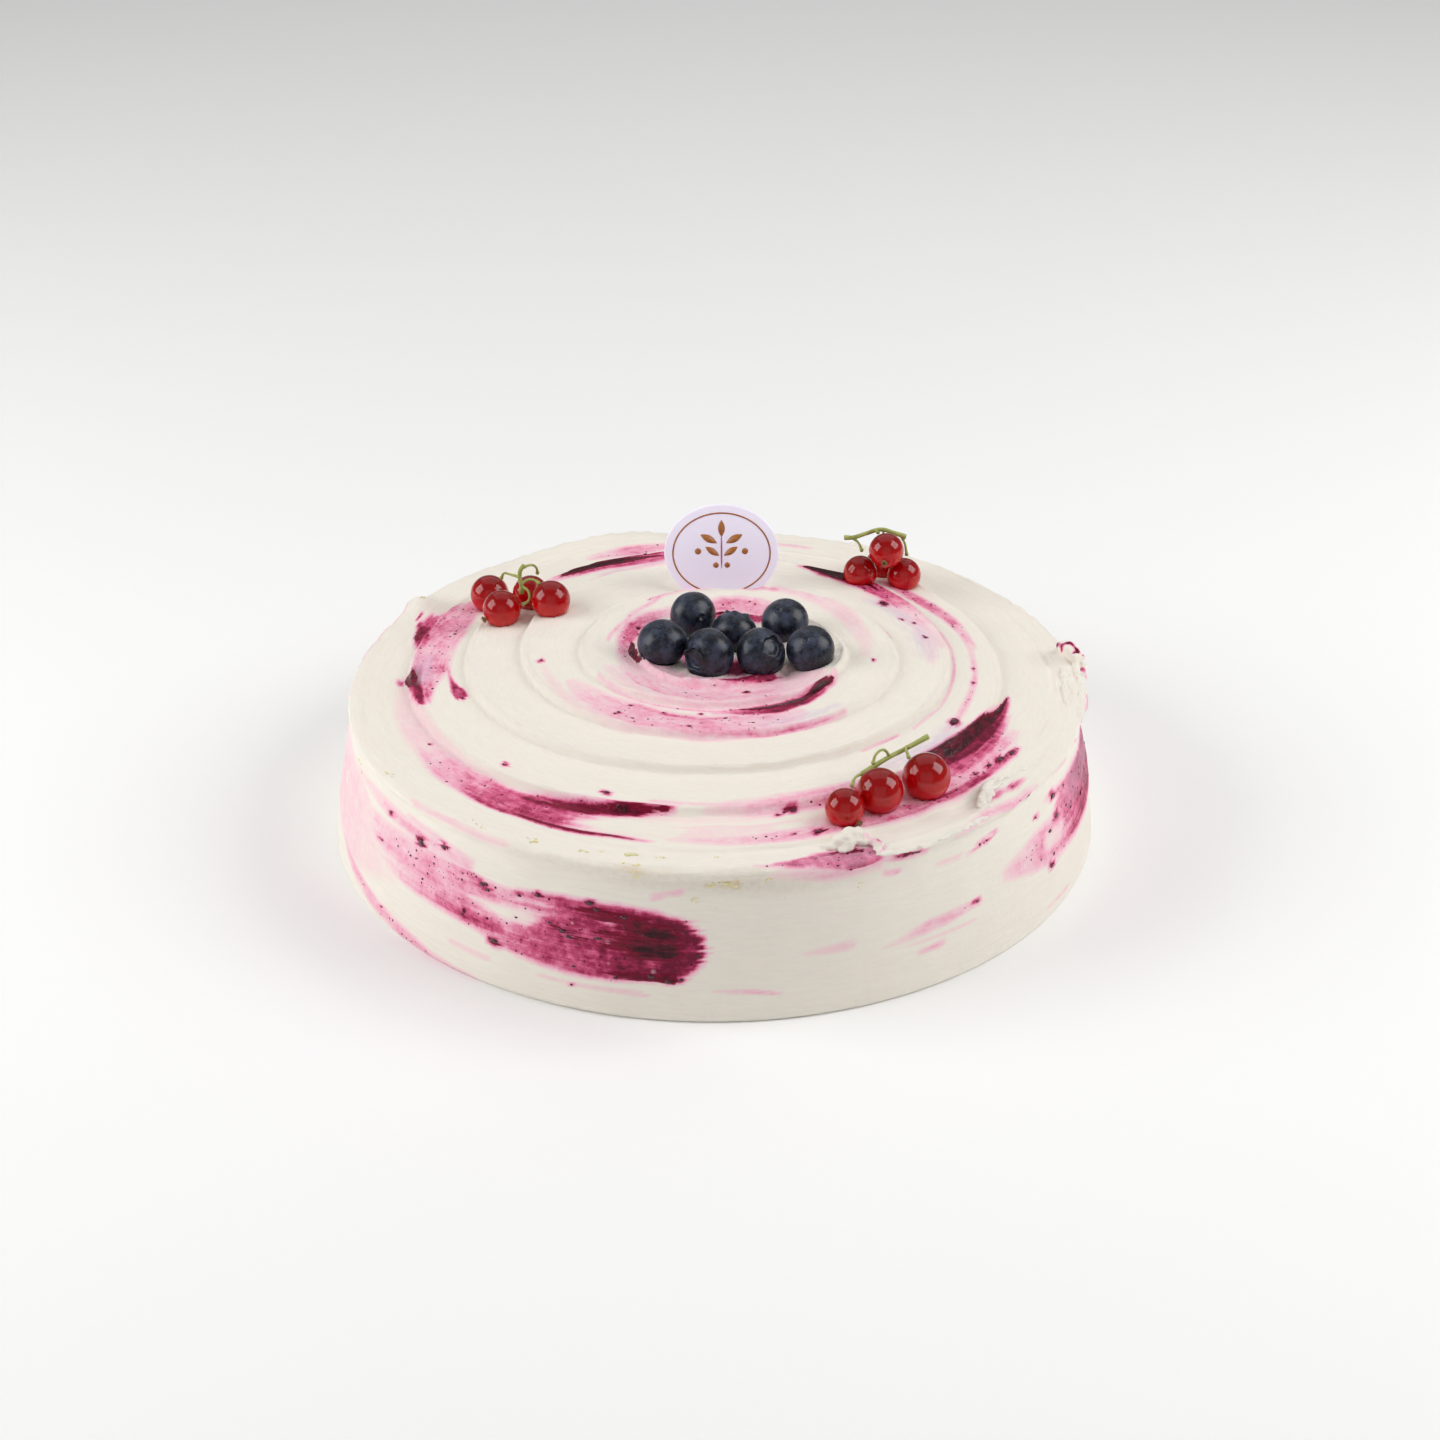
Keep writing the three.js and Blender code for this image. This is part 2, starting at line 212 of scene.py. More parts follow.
def between(tree, value, low, high, start=0.0, end=1.0):
    """An easy curve from start, at low, to end, at high."""
    return node(
        tree, "ShaderNodeMapRange", ("Value", value), ("From Min", low), ("From Max", high),
        ("To Min", start), ("To Max", end), interpolation_type="SMOOTHSTEP",
    ).outputs[0]


def bump(tree, shader, height, strength, distance):
    """Relief too fine for the mesh; distance is in metres."""
    made = node(
        tree, "ShaderNodeBump", ("Height", height), ("Strength", strength), ("Distance", distance)
    )
    tree.links.new(made.outputs[0], shader.inputs["Normal"])


def ramp(tree, factor, tones):
    """A colour that runs through tones: each has its place, 0 to 1, and a picked colour."""
    made = node(tree, "ShaderNodeValToRGB", ("Fac", factor))
    for place, _ in tones[1:-1]:
        made.color_ramp.elements.new(place)
    for element, (place, tone) in zip(made.color_ramp.elements, tones):
        element.position = place
        element.color = picked(*tone)
    return made.outputs["Color"]


def feed(tree, shader, **sockets):
    """Links the sockets of a shader, named as in clear_material, to what drives them."""
    for socket, value in sockets.items():
        connect(tree, shader.inputs[socket.replace("_", " ")], value)


print("a cream tone as light:", [round(v, 3) for v in picked(240, 236, 224)])

# %% [markdown]
# ## Two effects that several finishes share
# Nothing on this cake has one even colour. Two node groups make most of the variety:
# *mottle* is a soft cloud, and *flecks* are scattered round dots of uneven size. Each is
# built once and placed in the materials with its own values.

# %% Node groups


def effect(name, **sockets):
    """An empty node group that puts out one mask; a socket with no value is a vector."""
    tree = bpy.data.node_groups.new(name, "ShaderNodeTree")
    for socket, value in sockets.items():
        kind = "NodeSocketVector" if value is None else "NodeSocketFloat"
        made = tree.interface.new_socket(socket, in_out="INPUT", socket_type=kind)
        if value is not None:
            made.default_value = value
    tree.interface.new_socket("Mask", in_out="OUTPUT", socket_type="NodeSocketFloat")
    return tree, tree.nodes.new("NodeGroupInput").outputs, tree.nodes.new("NodeGroupOutput").inputs


def use(tree, group, **sockets):
    """A group placed in a material, with its sockets linked or set, and its mask."""
    placed = node(tree, "ShaderNodeGroup", node_tree=group)
    for socket, value in sockets.items():
        connect(tree, placed.inputs[socket], value)
    return placed.outputs["Mask"]


def in_place(tree):
    """The place of a point in the frame, for patterns that run through a piece."""
    return node(tree, "ShaderNodeTexCoord").outputs["Object"]


def mottled(tree, scale, contrast):
    """The soft cloud as it runs through a piece."""
    return use(tree, mottle, Vector=in_place(tree), Scale=scale, Contrast=contrast)


def flecked(tree, scale, size, share):
    """The scattered dots as they run through a piece."""
    return use(tree, flecks, Vector=in_place(tree), Scale=scale, Size=size, Share=share)


mottle, given, told = effect("mottle", Vector=None, Scale=300.0, Contrast=2.0)
cloud = node(
    mottle, "ShaderNodeTexNoise", ("Vector", given["Vector"]), ("Scale", given["Scale"]),
    ("Detail", 5.0), ("Roughness", 0.6),
).outputs["Fac"]
centred = maths(mottle, "SUBTRACT", cloud, 0.5)
mask = maths(mottle, "MULTIPLY_ADD", centred, given["Contrast"], 0.5, clamp=True)
mottle.links.new(mask, told["Mask"])

flecks, given, told = effect("flecks", Vector=None, Scale=300.0, Size=0.2, Share=0.3)
cells = node(
    flecks, "ShaderNodeTexVoronoi", ("Vector", given["Vector"]), ("Scale", given["Scale"])
)
lots = node(flecks, "ShaderNodeSeparateColor", (0, cells.outputs["Color"]))
chosen = maths(flecks, "LESS_THAN", lots.outputs[0], given["Share"])
reach = maths(flecks, "MULTIPLY", lots.outputs[1], given["Size"])
dot = between(flecks, cells.outputs["Distance"], reach, 0.0)
flecks.links.new(maths(flecks, "MULTIPLY", dot, chosen), told["Mask"])
print("shared effects:", [group.name for group in (mottle, flecks)])

# %% [markdown]
# ## Turning and finishing pieces
# Most of this cake is round: the cream, the berries and the currants are all turned shapes.
# A UV sphere would do for a ball, but it has no scar, crown or tuft. A half outline that is
# spun round an axis can have all of them. Every finished piece then goes through one door,
# which scales it to metres and ties it to the frame.

# %% Helpers that turn an outline and finish a piece


def spun(outline, steps):
    """A closed shape turned round +Z from a half outline that starts and ends on the axis."""
    bm = bmesh.new()
    corners = [bm.verts.new((across, 0, up)) for across, up in outline]
    rows = [bm.edges.new(pair) for pair in zip(corners, corners[1:])]
    bmesh.ops.spin(
        bm, geom=corners + rows, cent=(0, 0, 0), axis=(0, 0, 1), angle=math.tau,
        steps=steps, use_merge=True,
    )
    bmesh.ops.remove_doubles(bm, verts=bm.verts, dist=1e-5)
    bmesh.ops.recalc_face_normals(bm, faces=bm.faces)
    return bm


def finish_piece(name, bm, materials, replaces=()):
    """A smooth piece in metres that rides on the frame and takes its finish from a slot."""
    bmesh.ops.scale(bm, vec=(MM, MM, MM), verts=bm.verts)
    mesh = bpy.data.meshes.new(name)
    bm.to_mesh(mesh)
    bm.free()
    for material in materials:
        mesh.materials.append(material)
    mesh.shade_smooth()
    piece = bpy.data.objects.new(name, mesh)
    bpy.context.collection.objects.link(piece)
    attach(piece, "root")
    if replaces:
        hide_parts(*replaces)
    return piece


def lay_over(bm, solid, up):
    """Points the shape's +Z along up and centres its box on that of a solid of the frame."""
    turn = Vector((0, 0, 1)).rotation_difference(Vector(up).normalized())
    bmesh.ops.rotate(bm, cent=(0, 0, 0), matrix=turn.to_matrix(), verts=bm.verts)
    places = np.array([vertex.co for vertex in bm.verts])
    solid_low, solid_high = box_mm(solid)
    middle = Vector((places.min(0) + places.max(0)) / 2)
    shift = (solid_low + solid_high) / 2 - middle
    bmesh.ops.translate(bm, vec=shift, verts=bm.verts)
    return shift


print("helpers ready")

# %% [markdown]
# ## Blueberry skin
# A ripe blueberry is nearly black. A thin wax, the bloom, turns it grey-blue, and fingers rub
# the bloom off in patches. So the skin is a dark colour under a mottled mask of grey-blue, and
# the wax is also rougher than the bare skin. The crown's pit needs no tone of its own, as its
# depth already darkens it.

# %% The skin of a blueberry
blueberry_skin, tree, shader = clear_material("blueberry_skin", Specular_IOR_Level=0.4)
patches = mottled(tree, 240.0, 4.5)
scuffs = mottled(tree, 520.0, 3.0)
grain = mottled(tree, 2200.0, 2.2)
waxy = maths(tree, "MULTIPLY", patches, between(tree, scuffs, 0.1, 0.8, 0.25, 1.0))
waxy = maths(tree, "MULTIPLY_ADD", grain, 0.12, maths(tree, "MULTIPLY", waxy, 0.85), clamp=True)
feed(
    tree, shader, Base_Color=blend(tree, waxy, picked(9, 11, 15), picked(62, 71, 92)),
    Roughness=between(tree, waxy, 0.0, 1.0, 0.24, 0.44),
)
bump(tree, shader, maths(tree, "ADD", grain, scuffs), 0.3, 0.06 * MM)
print("made", blueberry_skin.name)

# %% [markdown]
# ## Seven blueberries
# The real berry is a slightly flattened ball. At one end is the scar where it left its stalk,
# and at the other the crown: a low, wavy lip with five blunt lobes round a shallow pit.
# A sphere with a pressed-in loop would need many hand moves. Here the scar, shoulder, lip
# and pit are points of one outline, and a formula bends the lip into its lobes afterwards.

# %% One berry's outline
BERRY_FLATNESS = 0.88
BERRY_STEPS, BERRY_ROWS = 80, 32
SCAR_RADIUS = 1.2
CROWN_SHARE = 0.48


def crown_place(radius):
    """How far out and how high the lip of the crown lies on a berry."""
    return CROWN_SHARE * radius, radius * BERRY_FLATNESS * math.sin(math.acos(CROWN_SHARE))


def berry_outline(radius):
    """From the stalk's scar, over the shoulder, to the middle of the crown's pit."""
    half = radius * BERRY_FLATNESS
    scar = [(0, 0.45), (0.3, 0.42), (0.55, 0.2), (0.8, -0.05), (1, 0)]
    outline = [(SCAR_RADIUS * across, up - half) for across, up in scar]
    first = -math.acos(1.25 * SCAR_RADIUS / radius)
    last = math.acos(CROWN_SHARE * 1.12)
    for row in range(BERRY_ROWS + 1):
        rise = first + (last - first) * row / BERRY_ROWS
        outline.append((radius * math.cos(rise), half * math.sin(rise)))
    crown, top = crown_place(radius)
    pit = [(1.03, 0.22), (1, 0.42), (0.95, 0.46), (0.9, 0.25), (0.86, -0.3), (0.78, -0.75),
           (0.62, -0.7), (0.4, -0.45), (0.15, -0.4), (0, -0.5)]
    outline += [(crown * across, top + up) for across, up in pit]
    return outline


print("points in the outline of a berry:", len(berry_outline(7)))

# %% Berries laid over their solids
BLUEBERRIES = {
    # radius in millimetres, and the way that the crown points
    "blueberry_1": (6.9, (0.1, 0.2, -1)),
    "blueberry_2": (6.5, (-0.4, 0.8, -0.3)),
    "blueberry_3": (7.1, (-0.7, -0.7, 0.08)),
    "blueberry_4": (6.3, (0.2, 0.5, 0.85)),
    "blueberry_5": (6.9, (0.57, -0.56, 0.6)),
    "blueberry_6": (6.6, (0.3, 0.5, -0.8)),
    "blueberry_7": (6.6, (0.2, 0.6, -0.8)),
}
CROWN_LOBES = 5
LOBE_SWAY, LOBE_RISE, LOBE_WIDTH = 0.1, 0.18, 0.22
CROWN_DEPTH = 1.2
SKIN_SWAY = 0.012
BERRY_MOUND = 2.0
pressed = []


def bend_crown(bm, radius, seed):
    """Bends the lip of the crown into blunt lobes, and the whole skin by a hair."""
    crown, top = crown_place(radius)
    for vertex in bm.verts:
        across = math.hypot(vertex.co.x, vertex.co.y)
        turn = math.atan2(vertex.co.y, vertex.co.x)
        on_lip = math.exp(-(((across - crown) / (LOBE_WIDTH * crown)) ** 2))
        if vertex.co.z > top - CROWN_DEPTH and on_lip > 0.01:
            wave = math.cos(CROWN_LOBES * turn + seed)
            wave += 0.5 * noise.noise(Vector((2 * math.cos(turn), 2 * math.sin(turn), seed)))
            vertex.co.x *= 1 + LOBE_SWAY * wave * on_lip
            vertex.co.y *= 1 + LOBE_SWAY * wave * on_lip
            vertex.co.z += LOBE_RISE * wave * on_lip
        vertex.co *= 1 + SKIN_SWAY * noise.noise(vertex.co / 4 + Vector((seed, 0, 0)))


for seed, (solid, (radius, up)) in enumerate(BLUEBERRIES.items()):
    berry = spun(berry_outline(radius), BERRY_STEPS)
    bend_crown(berry, radius, seed)
    centre = lay_over(berry, solid, up)
    pressed.append((centre, radius, BERRY_MOUND))
    piece = finish_piece(solid + "_skin", berry, [blueberry_skin], [solid])
    print(piece.name, "sits at", [round(v, 1) for v in centre], "mm")

# %% [markdown]
# ## Redcurrant skin
# A currant is a drop of clear red juice in a thin skin. It is dark where one looks deep into
# it, brighter low down where the light that came in at the top leaves again, and mirror
# smooth. A fully clear ball would need the seeds and the pulp. So that glow is painted: a red
# painted lighter downwards, by an attribute that each currant carries, and light that
# scatters a little way under the skin give the same glow for far less work.

# %% The skin of a currant, and its dry tuft
currant_skin, tree, shader = clear_material(
    "currant_skin", Roughness=0.1, IOR=1.4, Subsurface_Weight=0.35, Subsurface_Scale=2 * MM,
    Transmission_Weight=0.3, Coat_Roughness=0.02, Coat_Weight=0.3,
)
shader.inputs["Subsurface Radius"].default_value = (1.0, 0.1, 0.06)
# painted glow: the rise attribute is each vertex's height in its currant, and it lightens the red
# downwards
rise = node(tree, "ShaderNodeAttribute", attribute_name="rise").outputs["Fac"]
veins = mottled(tree, 330.0, 1.6)
height = maths(tree, "MULTIPLY_ADD", maths(tree, "SUBTRACT", veins, 0.5), 0.25, rise)
# the juice's red, from a painted bright glow at the bottom to dark red at the top
JUICE_AND_PAINTED_GLOW = [(0.0, (206, 30, 26)), (0.3, (224, 22, 18)), (0.6, (196, 8, 12)), (1.0, (150, 2, 8))]
feed(
    tree, shader, Base_Color=ramp(tree, height, JUICE_AND_PAINTED_GLOW),
    Roughness=between(tree, veins, 0.0, 1.0, 0.08, 0.14),
)

dry_tuft, tree, shader = clear_material("dry_tuft", Roughness=0.8)
fibres = mottled(tree, 2500.0, 3.0)
feed(tree, shader, Base_Color=blend(tree, fibres, picked(84, 56, 34), picked(178, 148, 96)))
bump(tree, shader, fibres, 0.6, 0.1 * MM)
print("made", currant_skin.name, "and", dry_tuft.name)

# %% [markdown]
# ## Eleven currants in three sprigs
# Each currant is a true ball with the dried flower at one end, a ragged brown trumpet about
# a millimetre long. It could be a second object stuck on, but in the real fruit the skin runs
# up into it, so it is the last stretch of the same outline, with a second material.

# %% Currants laid over their solids
CURRANTS = {
    # radius in millimetres, and the way that the tuft points
    "currant_a1": (5.45, (-0.5, 0.3, -0.8)),
    "currant_a2": (5.3, (-0.8, -0.5, -0.3)),
    "currant_a3": (5.05, (0.2, 0.5, -0.85)),
    "currant_a4": (5.45, (0.7, -0.2, -0.7)),
    "currant_b1": (4.85, (-0.5, 0.2, -0.8)),
    "currant_b2": (4.9, (0.5, -0.2, -0.8)),
    "currant_b3": (5.0, (-0.15, -0.95, -0.25)),
    "currant_b4": (4.6, (0.1, 0.6, -0.8)),
    "currant_c1": (5.0, (0.62, -0.62, -0.45)),
    "currant_c2": (5.95, (0.1, -0.4, -0.9)),
    "currant_c3": (6.2, (0.3, -0.5, -0.8)),
}
CURRANT_STEPS, CURRANT_ROWS = 64, 36
CURRANT_MOUND = 0.8
TUFT_NECK, TUFT_REACH, TUFT_RAG = 0.62, 1.2, 0.25
TUFT_OUTLINE = [
    (0.5, 0.05), (0.45, 0.3), (0.62, 0.65), (0.88, 1.1), (0.7, 1.2), (0.4, 0.8), (0, 0.6),
]


def currant_outline(radius):
    """A ball up to the neck of the tuft, and then the tuft's trumpet."""
    last = math.acos(TUFT_NECK / radius)
    outline = [(0, -radius)]
    for row in range(1, CURRANT_ROWS + 1):
        rise = -math.pi / 2 + (last + math.pi / 2) * row / CURRANT_ROWS
        outline.append((radius * math.cos(rise), radius * math.sin(rise)))
    return outline + [(across, radius + up) for across, up in TUFT_OUTLINE]


def fray_tuft(bm, radius, seed):
    """Makes the trumpet ragged, and gives its faces the second material."""
    for vertex in bm.verts:
        above = (vertex.co.z - radius) / TUFT_REACH
        if above > 0:
            turn = math.atan2(vertex.co.y, vertex.co.x)
            rag = math.cos(5 * turn + seed) + noise.noise(Vector((3 * turn, seed, 0)))
            vertex.co.x *= 1 + TUFT_RAG * rag * above
            vertex.co.y *= 1 + TUFT_RAG * rag * above
            vertex.co.z -= TUFT_RAG * (1 + rag) * above
    for face in bm.faces:
        face.material_index = int(face.calc_center_median().z > radius - 0.02)


for seed, (solid, (radius, up)) in enumerate(CURRANTS.items()):
    currant = spun(currant_outline(radius), CURRANT_STEPS)
    fray_tuft(currant, radius, seed)
    centre = lay_over(currant, solid, up)
    pressed.append((centre, radius, CURRANT_MOUND))
    # painted glow: how high each vertex lies in its currant, 0 at the bottom and 1 at the top
    painted_glow_layer = currant.verts.layers.float.new("rise")
    for vertex in currant.verts:
        vertex[painted_glow_layer] = 0.5 + (vertex.co.z - centre.z) / (2 * radius)
    piece = finish_piece(solid + "_fruit", currant, [currant_skin, dry_tuft], [solid])
    print(piece.name, "sits at", [round(v, 1) for v in centre], "mm")

# %% [markdown]
# ## Stalks
# Each sprig hangs on one green stalk, and a thread-thin one runs to each currant and ends in
# a small cap on its skin. Round curves give the threads, but where two curves meet they only
# pass through each other. A fine voxel remesh melts them into one skin, with soft forks.

# %% The stalk's skin
stalk_skin, tree, shader = clear_material("stalk_skin", Roughness=0.5)
tint = mottled(tree, 350.0, 2.5)
feed(tree, shader, Base_Color=blend(tree, tint, picked(132, 148, 58), picked(190, 190, 116)))
bump(tree, shader, mottled(tree, 1800.0, 2.5), 0.5, 0.1 * MM)
print("made", stalk_skin.name)

# %% The routes of the stalks
STALK_RADIUS = 0.62
PEDICEL_RADIUS = 0.36
CAP_RADIUS = 0.62
STALK_VOXEL = 0.13
END_FLARE = 1.25
SPRIGS = {
    # the first route is the stalk, and the others run to the currants
    "stem_a": [
        [(-53.8, 33, 51.7), (-53.7, 33, 53.5), (-54.1, 33, 56.6), (-53.5, 33, 59.5),
         (-52.6, 33.5, 60)],
        [(-54.4, 33.4, 56.6), (-57.1, 37.5, 55.4), (-59.2, 41.1, 53.9), (-59.9, 42.2, 52.1)],
        [(-53, 33.2, 59.8), (-50.9, 36, 59), (-49.8, 38.6, 57), (-49.6, 40.4, 54.5)],
        [(-53.6, 33, 54.6), (-52, 32.3, 56.2), (-50, 31.4, 56.6), (-48.8, 30.7, 56)],
        [(-53.7, 33, 54), (-51.6, 31.5, 52.7), (-51.7, 30.2, 50.8), (-53.2, 29.4, 50.1)],
    ],
    "stem_b": [
        [(37.2, 56.2, 57.5), (39.7, 56.2, 57.5), (43.6, 56.2, 58.8), (47.7, 56.6, 59.8),
         (51.2, 56.4, 58.9), (54.9, 56.2, 57.6)],
        [(39.4, 56.2, 57.5), (41.3, 55.4, 56.2), (42.2, 54.4, 54.4)],
        [(53.4, 56.2, 58), (54.6, 56.1, 55.6), (55.2, 55.7, 52.4)],
        [(45.6, 56.4, 59.3), (46, 55, 60.4), (46.7, 53.6, 60.3)],
        [(48.6, 56.6, 59.6), (48.6, 60, 57), (48.4, 61.9, 52.4)],
    ],
    "stem_c": [
        [(54.1, -54.7, 53.8), (48.1, -58.5, 52.3), (43.1, -61.8, 51.3), (36.9, -65.8, 49.2)],
        [(37.2, -65.6, 49.3), (35.2, -68.4, 49.8), (34.2, -72.4, 49.8)],
        [(44.2, -61, 51.5), (42.2, -63, 54.6), (40.2, -65.2, 54.2), (39.7, -66, 52.6)],
        [(49.4, -57.8, 52.6), (48.2, -60.4, 53.6), (48.8, -62, 51.9)],
    ],
}


def thread(route, radius):
    """A smooth round thread through the points of a route, thicker at both ends, as a mesh."""
    data = bpy.data.curves.new("thread", "CURVE")
    data.dimensions = "3D"
    data.bevel_depth = radius
    data.bevel_resolution = 3
    data.use_fill_caps = True
    spline = data.splines.new("BEZIER")
    spline.bezier_points.add(len(route) - 1)
    for place, point in zip(route, spline.bezier_points):
        point.co = place
        point.handle_left_type = point.handle_right_type = "AUTO"
        point.radius = 1
    spline.bezier_points[0].radius = spline.bezier_points[-1].radius = END_FLARE
    guide = bpy.data.objects.new("thread", data)
    mesh = bpy.data.meshes.new_from_object(guide)
    bpy.data.objects.remove(guide)
    bpy.data.curves.remove(data)
    return mesh


for solid, (stalk, *pedicels) in SPRIGS.items():
    sprig = bmesh.new()
    threads = [thread(route, PEDICEL_RADIUS) for route in pedicels]
    for mesh in [thread(stalk, STALK_RADIUS), *threads]:
        sprig.from_mesh(mesh)
        bpy.data.meshes.remove(mesh)
    for route in pedicels:
        bmesh.ops.create_icosphere(
            sprig, subdivisions=2, radius=CAP_RADIUS, matrix=Matrix.Translation(route[-1])
        )
    piece = finish_piece(solid + "_stalks", sprig, [stalk_skin], [solid])
    melt = piece.modifiers.new("melt", "REMESH")
    melt.mode = "VOXEL"
    melt.voxel_size = STALK_VOXEL * MM
    melt.use_smooth_shade = True
    soften = piece.modifiers.new("soften", "SMOOTH")
    soften.factor = 0.5
    soften.iterations = 3
    print(piece.name, "has", len(pedicels), "currants")

# %% [markdown]
# ## The oval plaque
# The plaque is a die-cut oval of plastic, one millimetre thick, pushed into the cream so that
# it leans back. A flat disc would show razor edges, so its rim gets a small bevel. Thin pale
# plastic passes on some of the light from behind, and a faint painted glow from the plaque
# itself stands for that.
# Its face carries a thin line of gold-brown ink round the edge and a small sprig of leaves.

# %% The plaque's two finishes
# painted light: a faint lavender glow of the plaque's own lifts its face
plaque_white, tree, shader = clear_material(
    "plaque_white", Specular_IOR_Level=0.4, Emission_Strength=0.18,
    Emission_Color=picked(226, 218, 255),
)
haze = mottled(tree, 180.0, 1.2)
dust = flecked(tree, 420.0, 0.16, 0.05)
plain = blend(tree, haze, picked(248, 240, 255), picked(252, 245, 255))
feed(
    tree, shader, Base_Color=blend(tree, dust, plain, picked(70, 60, 90)),
    Roughness=between(tree, haze, 0.0, 1.0, 0.35, 0.45),
)

plaque_ink, tree, shader = clear_material("plaque_ink", Roughness=0.4)
wear = mottled(tree, 900.0, 2.0)
feed(tree, shader, Base_Color=blend(tree, wear, picked(168, 98, 40), picked(190, 122, 58)))
print("made", plaque_white.name, "and", plaque_ink.name)

# %% The oval
PLAQUE_WIDTH, PLAQUE_HEIGHT, PLAQUE_THICKNESS = 32.2, 28, 1
PLAQUE_SHOWING = 25
PLAQUE_LEAN = math.radians(12)
PLAQUE_FOOT = (2.2, 41.5, 48)
PLAQUE_BEVEL = 0.25
PLAQUE_PLACE = (
    Matrix.Translation(PLAQUE_FOOT)
    @ Matrix.Rotation(math.pi / 2 - PLAQUE_LEAN, 4, "X")
    @ Matrix.Translation((0, PLAQUE_SHOWING - PLAQUE_HEIGHT / 2, 0))
)


def oval(bm, width, height, place=Matrix.Identity(4), segments=96):
    """A flat oval in the plaque's own plane, moved by place."""
    flat = Matrix.Diagonal((width / 2, height / 2, 1, 1))
    made = bmesh.ops.create_circle(
        bm, cap_ends=True, segments=segments, radius=1, matrix=place @ flat
    )
    return made["verts"]


def thicken(bm, faces, depth):
    """Extrudes flat faces towards +Z into a closed slab."""
    grown = bmesh.ops.extrude_face_region(bm, geom=faces, use_keep_orig=True)["geom"]
    moved = [item for item in grown if isinstance(item, bmesh.types.BMVert)]
    bmesh.ops.translate(bm, vec=(0, 0, depth), verts=moved)
    bmesh.ops.recalc_face_normals(bm, faces=bm.faces)


blank = bmesh.new()
oval(blank, PLAQUE_WIDTH, PLAQUE_HEIGHT)
bmesh.ops.translate(blank, vec=(0, 0, -PLAQUE_THICKNESS / 2), verts=blank.verts)
thicken(blank, blank.faces[:], PLAQUE_THICKNESS)
rims = [edge for edge in blank.edges if edge.verts[0].co.z == edge.verts[1].co.z]
bmesh.ops.bevel(
    blank, geom=rims, offset=PLAQUE_BEVEL, affect="EDGES", segments=3, profile=0.5, material=-1
)
bmesh.ops.transform(blank, matrix=PLAQUE_PLACE, verts=blank.verts)
piece = finish_piece("plaque_oval", blank, [plaque_white], ["plaque"])
print(piece.name, "leans", round(math.degrees(PLAQUE_LEAN)), "degrees")

# %% The printed line and sprig
INK_THICKNESS = 0.05
INK_LINE = 0.45
INK_MARGIN = 2.2
SPRIG_LEAVES = [
    # the middle of a leaf across and up the oval, its length, and the way it points in degrees
    (-3.6, 4.2, 5.2, 152), (3.6, 4.2, 5.2, 28), (-2.6, 0.6, 4.6, 146), (2.6, 0.6, 4.6, 34),
    (0, 7.2, 4.8, 90),
]
SPRIG_BERRIES = [(-6.6, 0.6, 0.9), (6.6, 0.6, 0.9), (-1.6, -3.4, 0.8), (1.6, -3.4, 0.8)]
SPRIG_STEM, SPRIG_MIDDLE = 10, 0.6
LEAF_WIDTH, LEAF_TAPER = 0.4, 0.6

ink = bmesh.new()
oval(ink, PLAQUE_WIDTH - 2 * INK_MARGIN, PLAQUE_HEIGHT - 2 * INK_MARGIN)
middle = ink.faces[:]
bmesh.ops.inset_region(
    ink, faces=middle, thickness=INK_LINE, use_even_offset=True, use_boundary=True
)
bmesh.ops.delete(ink, geom=middle, context="FACES_ONLY")
for across, up, length, way in SPRIG_LEAVES:
    turned = Matrix.Translation((across, up, 0)) @ Matrix.Rotation(math.radians(way), 4, "Z")
    leaf = oval(ink, length, length * LEAF_WIDTH, segments=24)
    for vertex in leaf:
        vertex.co.y *= 1 - abs(2 * vertex.co.x / length) ** 2 * LEAF_TAPER
    bmesh.ops.transform(ink, matrix=turned, verts=leaf)
for across, up, ball in SPRIG_BERRIES:
    oval(ink, 2 * ball, 2 * ball, Matrix.Translation((across, up, 0)), segments=20)
oval(ink, INK_LINE, SPRIG_STEM, Matrix.Translation((0, SPRIG_MIDDLE, 0)), segments=20)
thicken(ink, ink.faces[:], INK_THICKNESS)
bmesh.ops.translate(ink, vec=(0, 0, PLAQUE_THICKNESS / 2), verts=ink.verts)
bmesh.ops.transform(ink, matrix=PLAQUE_PLACE, verts=ink.verts)
piece = finish_piece("plaque_print", ink, [plaque_ink])
print(piece.name, "has", len(SPRIG_LEAVES), "leaves")

# %% [markdown]
# ## The cream's own surface
# A palette knife turned from the rim inwards leaves a spiral of low terraces. The solid in the
# frame has them from one formula, and the same formula, with a crisper crest, shapes a mesh
# fine enough to show every turn. Sculpting by hand would look as good once, but could never
# follow the solid so closely.

# %% The formula of the top, over a ring's radius and an angle
RIM_RADIUS, RIM_HEIGHT = 98, 39.8
SWIRL_CENTRE = (5, 10)
DOME_HEIGHT = 8.5
DOME_RINGS = [0, 12, 22, 30, 38, 50, 63, 75, 85, 98]
DOME_SHARES = [0.45, 0.5, 0.62, 0.9, 1, 0.87, 0.66, 0.36, 0.13, 0]
DOME_EASE = (-3, -1.5, 0, 1.5, 3)
TURN_PITCH, TURN_START = 14.5, 76.9
TURN_DEPTH, TURN_CREST = 1.6, 0.92
CREST_RIDGE, CREST_WIDTH = 0.42, 0.04
OUTER_SHIFT = 4.5
INNER_OVAL, INNER_SHIFT, INNER_SHRINK = 2.5, -2, -3.1
INNER_ENDS = 45, 57
TURNS_BEGIN, TURNS_END = (6, 14), (84, 95)
LIP_HEIGHT, LIP_WAVE, LIP_BEGINS = 0.7, 0.35, (86, 95)
